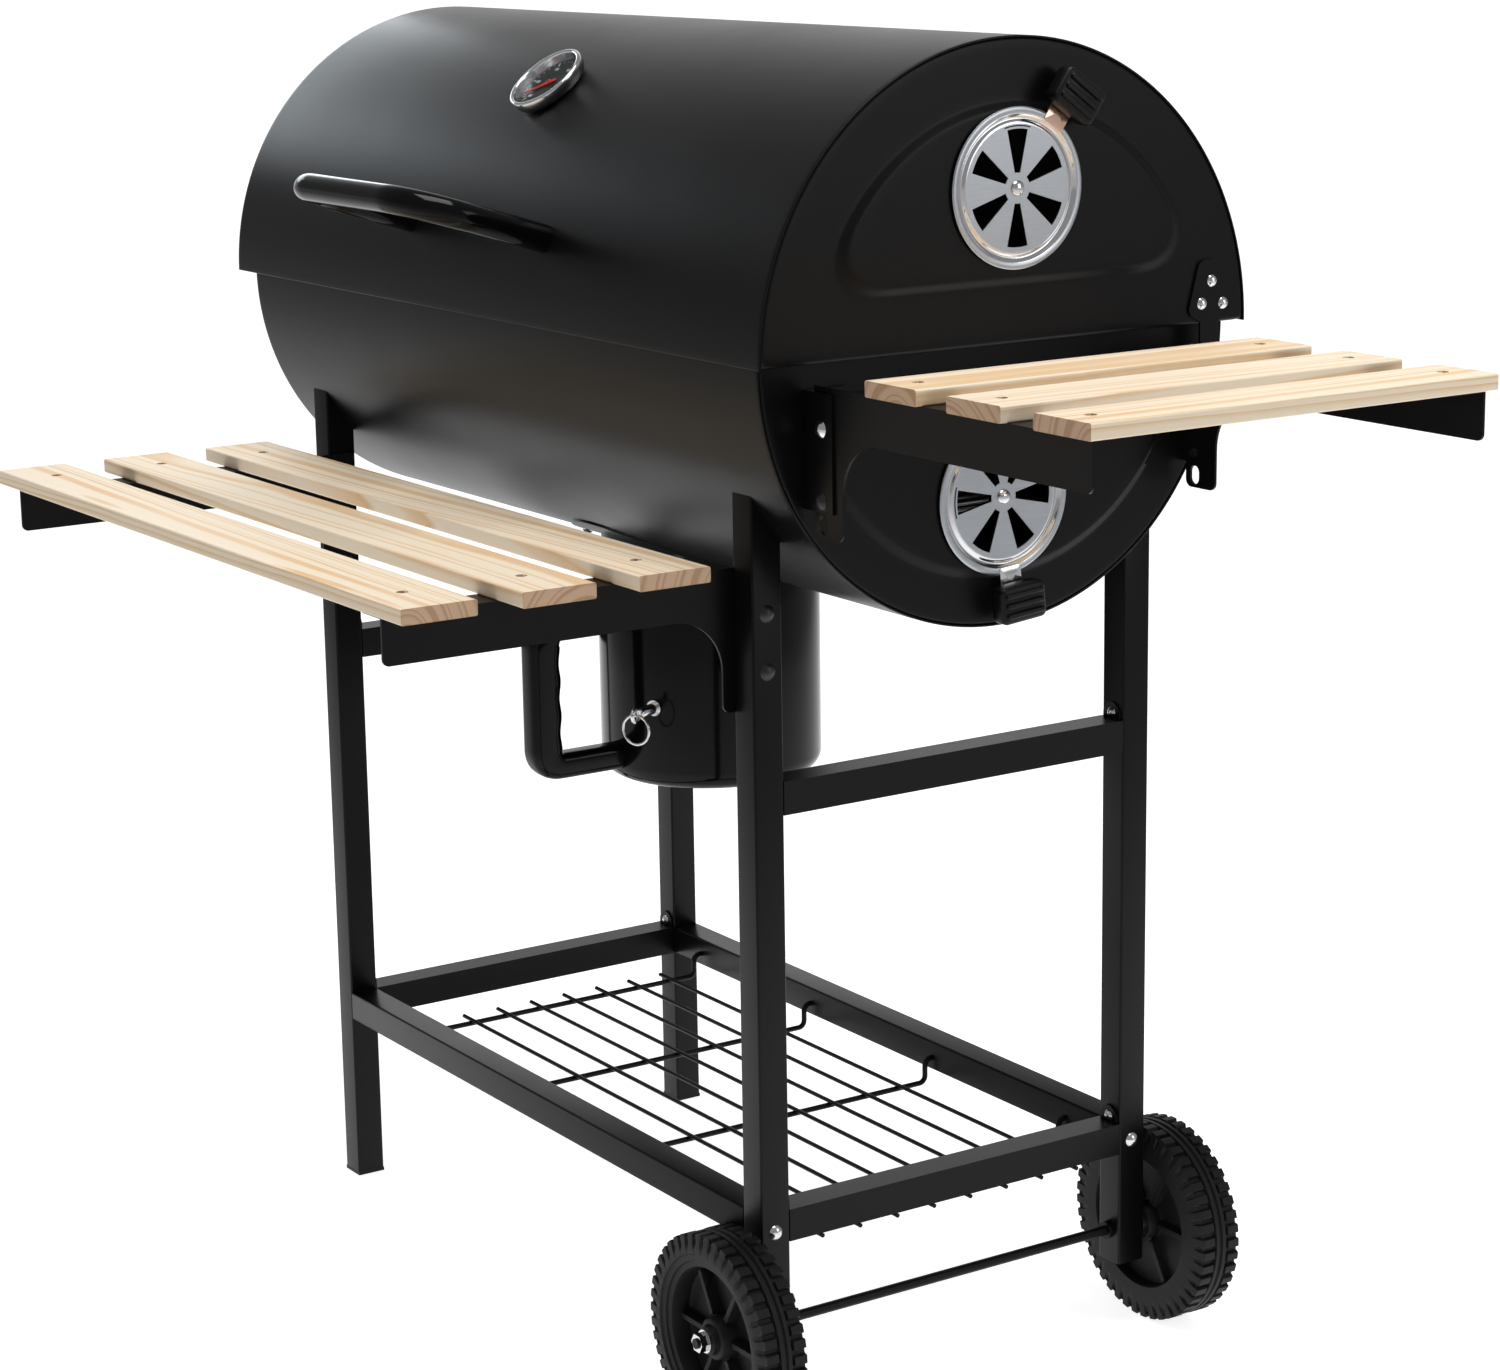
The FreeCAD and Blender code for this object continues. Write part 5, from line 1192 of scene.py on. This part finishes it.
class GRILL_OT_pot(bpy.types.Operator):
    """Ash pot, its moulded handle, and the latch"""

    bl_idname = "grill.pot"
    bl_label = "Ash pot"

    def execute(self, context):
        # A cup turned about its axis: flat foot, round bend, straight wall and rolled rim.
        low, high = span("ash_pot")
        radius = (high[0] - low[0]) / 2
        centre = np.array([(low[0] + high[0]) / 2, (low[1] + high[1]) / 2, low[2]])
        centre[1] = high[1] - radius
        tall = high[2] - low[2]
        bow = np.linspace(0, math.pi / 2, 10)
        bend, wall = 15 * MM, 1.2 * MM
        foot = np.column_stack([radius - bend + bend * np.sin(bow), bend - bend * np.cos(bow)])
        inner = np.column_stack([radius - bend + (bend - wall) * np.sin(bow),
                                 bend - (bend - wall) * np.cos(bow)])[::-1]
        rim = [(radius, tall * 0.5), (radius, tall - 1 * MM), (radius - 0.3 * MM, tall - 0.2 * MM),
               (radius - 0.9 * MM, tall - 0.2 * MM), (radius - wall, tall - 1 * MM),
               (radius - wall, tall * 0.5)]
        profile = np.concatenate([[(0, 0), (radius * 0.5, 0)], foot, rim, inner,
                                  [(radius * 0.5, wall), (0, wall)]])
        pot = Skin().grid(revolve(profile, centre, (0, 0, 1), 160), close_columns=True)
        settle(pot.object("pot_shell", sharp=40), "ash_pot", "gloss_paint", "gloss", "ash_pot")
        self.handle(centre, radius)
        self.latch(centre, radius)
        return {"FINISHED"}

    def handle(self, centre, radius):
        """A rounded rectangle carried round a D; finger ridges wave along the grip's inside."""
        low, high = span("ash_pot_handle")
        wide = high[0] - low[0]
        pot_wall, grip = -radius + 1 * MM, low[1] - centre[1] + 14 * MM
        top, bottom = high[2] - 11 * MM, low[2] + 10.5 * MM
        flat = np.array([(pot_wall, top), (grip, top), (grip, bottom), (pot_wall, bottom)])
        path = resample(round_corners(flat, 15 * MM, 12, closed=False), 1.5 * MM)
        tangent = unit_rows(np.gradient(path, axis=0))
        normal = np.column_stack([tangent[:, 1], -tangent[:, 0]])
        upright = np.clip(np.abs(tangent[:, 1]), 0, 1)
        half = (10.5 + 3.5 * ease(upright)) * MM
        share = (path[:, 1] - path[:, 1].min()) / np.ptp(path[:, 1])
        fingers, wave_height, square = 4, 0.8 * MM, 0.55
        wave = wave_height * np.cos(share * 2 * np.pi * fingers) * ease((upright - 0.9) / 0.1)
        turn = np.linspace(0, 2 * np.pi, 40, endpoint=False)
        c, t = np.cos(turn), np.sin(turn)
        across = wide / 2 * np.sign(c) * np.abs(c) ** square
        deep = np.sign(t) * np.abs(t) ** square
        reach_in = half[:, None] * deep[None] + wave[:, None] * np.maximum(-deep, 0)[None]
        y = path[:, :1] + normal[:, :1] * reach_in
        z = path[:, 1:] + normal[:, 1:] * reach_in
        x = np.broadcast_to(centre[0] + across, y.shape)
        rings = np.stack([x, centre[1] + y, z], -1)
        ends = [np.broadcast_to(rings[i].mean(0), (1, 40, 3)) for i in (0, -1)]
        rings = np.concatenate([ends[0], rings, ends[1]])
        piece = Skin().grid(rings, close_columns=True).object("pot_grip", sharp=60)
        settle(piece, "ash_pot", "knob_plastic", "gloss", "ash_pot_handle")

    def latch(self, centre, radius):
        """Pin with a collar and an eye, and a ring hanging in the eye."""
        swing = math.radians(28)
        out = np.array([math.sin(swing), -math.cos(swing), 0])
        across = np.array([math.cos(swing), math.sin(swing), 0])
        low, high = span("ash_latch_pin")
        level = (low[2] + high[2]) / 2
        pin_at = np.array([centre[0], centre[1], level])
        near, far = radius - 3.4 * MM, radius + 25 * MM
        rod, collar = 4.5 * MM, 6.5 * MM
        collar_from, collar_to = radius + 0.5 * MM, radius + 2.5 * MM
        profile = np.array([(0, near), (4.1 * MM, near), (rod, near + 0.5 * MM), (rod, collar_from),
                            (collar, collar_from), (collar, collar_to), (rod, collar_to),
                            (rod, far - 1 * MM), (3.8 * MM, far), (0, far)])
        skin = Skin().grid(revolve(profile, pin_at, out, 40), close_columns=True)
        turn = np.linspace(0, 2 * np.pi, 48, endpoint=False)[:, None]
        up = np.array([0, 0, 1.0])
        eye_at = pin_at + out * (radius + 30.5 * MM)
        eye = eye_at + 5.2 * MM * (np.cos(turn) * out + np.sin(turn) * up)
        add_sweep(skin, eye, 1.8 * MM, 16, closed=True)
        settle(skin.object("latch_rod"), "latch_pin", "chrome", "chrome", "ash_latch_pin")
        loop_radius = 12 * MM
        hang = eye_at - up * loop_radius
        loop = hang + loop_radius * (np.cos(turn) * across + np.sin(turn) * up)
        ring = add_sweep(Skin(), loop, 1.1 * MM, 12, closed=True)
        settle(ring.object("latch_loop"), "latch_ring", "chrome", "chrome", "ash_latch_ring")


def unit_rows(rows):
    """Each row over its own length."""
    return rows / np.linalg.norm(rows, axis=1)[:, None]


# ---- stage and the rest ------------------------------------------------------------------------


def view_axes(stage):
    """Camera's right, up and back directions from its azimuth, elevation and roll."""
    az, el, roll = stage.azimuth, stage.elevation, stage.roll
    back = np.array([math.sin(az) * math.cos(el), -math.cos(az) * math.cos(el), math.sin(el)])
    right = np.array([math.cos(az), math.sin(az), 0.0])
    up = np.cross(back, right)
    return (right * math.cos(roll) + up * math.sin(roll),
            up * math.cos(roll) - right * math.sin(roll), back)


def add_light(name, place, target, size, power, colour=(1, 1, 1)):
    """A rectangular lamp aimed at a target."""
    lamp = bpy.data.lights.new(name, "AREA")
    lamp.shape = "RECTANGLE"
    lamp.size, lamp.size_y = size
    lamp.energy = power
    lamp.color = colour
    holder = bpy.data.objects.new(name, lamp)
    holder.location = place
    aim = Vector(target) - Vector(place)
    holder.rotation_euler = aim.to_track_quat("-Z", "Y").to_euler()
    bpy.context.scene.collection.objects.link(holder)


class GRILL_OT_stage(bpy.types.Operator):
    """Pale floor, white surroundings, soft lights and the camera"""

    bl_idname = "grill.stage"
    bl_label = "Stage"

    def execute(self, context):
        stage = context.scene.grill_stage
        right, up, back = view_axes(stage)
        camera = bpy.data.cameras.new("ViewCamera")
        camera.sensor_width = 36
        camera.lens = stage.lens
        holder = bpy.data.objects.new("ViewCamera", camera)
        base = np.column_stack([right, up, back])
        rows = [[*base[i], stage.eye[i]] for i in range(3)]
        holder.matrix_world = Matrix(rows + [[0, 0, 0, 1]])
        context.scene.collection.objects.link(holder)
        context.scene.camera = holder
        self.surroundings(context, stage)
        return {"FINISHED"}

    def surroundings(self, context, stage):
        """World, floor and lamps.

        The world's tone follows how far a direction runs along the level line of sight: white
        behind the object, grey on the camera's side.
        """
        world = bpy.data.worlds.new("White")
        world.use_nodes = True
        tree = world.node_tree
        place = tree.nodes.new("ShaderNodeTexCoord")
        turned = tree.nodes.new("ShaderNodeVectorMath")
        turned.operation = "DOT_PRODUCT"
        turned.inputs[1].default_value = (-math.sin(stage.azimuth), math.cos(stage.azimuth), 0)
        ramp = tree.nodes.new("ShaderNodeValToRGB")
        Shader.fill_ramp(ramp.color_ramp, [(0.0, (0.30,) * 3), (0.70, (0.27,) * 3),
                                           (0.94, (1.02,) * 3)])
        tree.links.new(place.outputs["Generated"], turned.inputs[0])
        tree.links.new(turned.outputs["Value"], ramp.inputs["Fac"])
        tree.links.new(ramp.outputs["Color"], tree.nodes["Background"].inputs["Color"])
        context.scene.world = world
        reach_out, count = 30, 13
        edge = np.linspace(-reach_out, reach_out, count)
        x, y = np.meshgrid(edge, edge, indexing="ij")
        floor = Skin().grid(np.stack([x, y, np.zeros((count, count))], axis=-1)).object("floor")
        dress(floor, self.floor_finish(stage))
        middle = np.array((MID_X, MID_Y, AXIS_Z * 0.9))
        add_light("Top", middle + (0.5, -0.2, 2.1), middle, (1.3, 1.3), 41)
        add_light("Left", middle + (-1.05, -0.1, 0.47), middle + (0, 0, 0.3), (0.7, 0.26), 2.0,
                  (0.86, 0.94, 1.0))
        add_light("Right", middle + (2.6, 1.2, 0.9), middle, (1.2, 1.6), 14)
        context.scene.view_settings.view_transform = "Standard"

    def floor_finish(self, stage):
        """Pale floor that glows behind the object and fades out to the sides and towards the front.

        Depth and width are the place measured along and across the level line of sight.
        """
        shader = Shader("Floor")
        parts = shader.split(shader.place)
        c, s = math.cos(stage.azimuth), math.sin(stage.azimuth)
        x, y = parts[0] - MID_X, parts[1] - MID_Y
        depth = y * c - x * s
        width = abs(x * c + y * s) - depth * 0.25
        behind = shader.add("ShaderNodeMapRange", {"interpolation_type": "SMOOTHSTEP"},
                            {0: depth, 1: -1.9, 2: -0.3})
        inside = shader.add("ShaderNodeMapRange", {"interpolation_type": "SMOOTHSTEP"},
                            {0: width, 1: 3.2, 2: 0.6})
        glow = shader.mix(behind * inside, (0.26,) * 3, (1.0,) * 3)
        mottle = shader.noise(3, 2)
        pale = shader.mix(mottle, (0.78,) * 3, (0.80,) * 3)
        return shader.set(Base_Color=pale, Roughness=0.7,
                          Specular_IOR_Level=0.2, Emission_Color=glow, Emission_Strength=0.82)


class GRILL_OT_finishes(bpy.types.Operator):
    """Finishes for every CAD piece that stays in view"""

    bl_idname = "grill.finishes"
    bl_label = "Finishes"

    def execute(self, context):
        looks = context.scene.grill_finishes
        make_finishes(looks)
        by_slot = {"body_paint": "paint", "gloss_paint": "gloss", "wire_paint": "wire",
                   "vent_steel": "steel", "chrome": "chrome", "grate_steel": "grate",
                   "wheel_plastic": "wheel", "knob_plastic": "knob", "foot_plastic": "knob",
                   "dial_face": "dial", "needle_red": "red", "gauge_glass": "glass"}
        for part in frame["record"]["subparts"]:
            if part["material_slot"] in by_slot:
                dress(frame["nodes"][part["node"]], FINISH[by_slot[part["material_slot"]]])
        dress(frame["nodes"]["cart_bolts"], FINISH["bolts"])
        boards = [("front_slat_" + name, 0) for name in ("front", "middle", "rear")]
        boards += [("side_slat_" + name, 1) for name in ("inner", "middle", "outer")]
        leans = (-0.018, 0.012, 0.026, 0.004, -0.022, 0.016)
        depths = (0.016, 0.034, 0.011, 0.020, 0.040, 0.014)
        for seed, ((name, along), lean, depth) in enumerate(zip(boards, leans, depths)):
            low, high = span(name)
            middle = ((low + high) / 2)[1 - along]
            wood = pine("Pine" + str(seed), tuple(looks.pine_pale), tuple(looks.pine_dark), along,
                        (middle + lean, low[2] - depth), 3.1 * seed + 1)
            dress(frame["nodes"][name], wood)
        return {"FINISHED"}


class GRILL_PT_panel(bpy.types.Panel):
    """Lists the sizes and the build steps"""

    bl_label = "Barrel Grill"
    bl_idname = "GRILL_PT_panel"
    bl_space_type = "VIEW_3D"
    bl_region_type = "UI"
    bl_category = "Grill"

    def draw(self, context):
        for group in GROUPS:
            holder = getattr(context.scene, group)
            for name in holder.bl_rna.properties.keys():
                if name not in ("rna_type", "name"):
                    self.layout.prop(holder, name)
        for step in STEPS:
            self.layout.operator(step.bl_idname)


GROUPS = {"grill_barrel": BarrelSizes, "grill_vents": VentSizes, "grill_fittings": FittingSizes,
          "grill_cart": CartSizes, "grill_finishes": Finishes, "grill_stage": StageSizes}
STEPS = (GRILL_OT_stage, GRILL_OT_finishes, GRILL_OT_barrel, GRILL_OT_vents, GRILL_OT_fittings,
         GRILL_OT_cart, GRILL_OT_pot)


def register():
    for kind in (*GROUPS.values(), *STEPS, GRILL_PT_panel):
        bpy.utils.register_class(kind)
    for name, kind in GROUPS.items():
        setattr(bpy.types.Scene, name, PointerProperty(type=kind))


def unregister():
    for name in GROUPS:
        delattr(bpy.types.Scene, name)
    for kind in (GRILL_PT_panel, *reversed(STEPS), *reversed(GROUPS.values())):
        bpy.utils.unregister_class(kind)


def main():
    register()
    for step in STEPS:
        group, name = step.bl_idname.split(".")
        getattr(getattr(bpy.ops, group), name)()


if __name__ == "__main__":
    main()
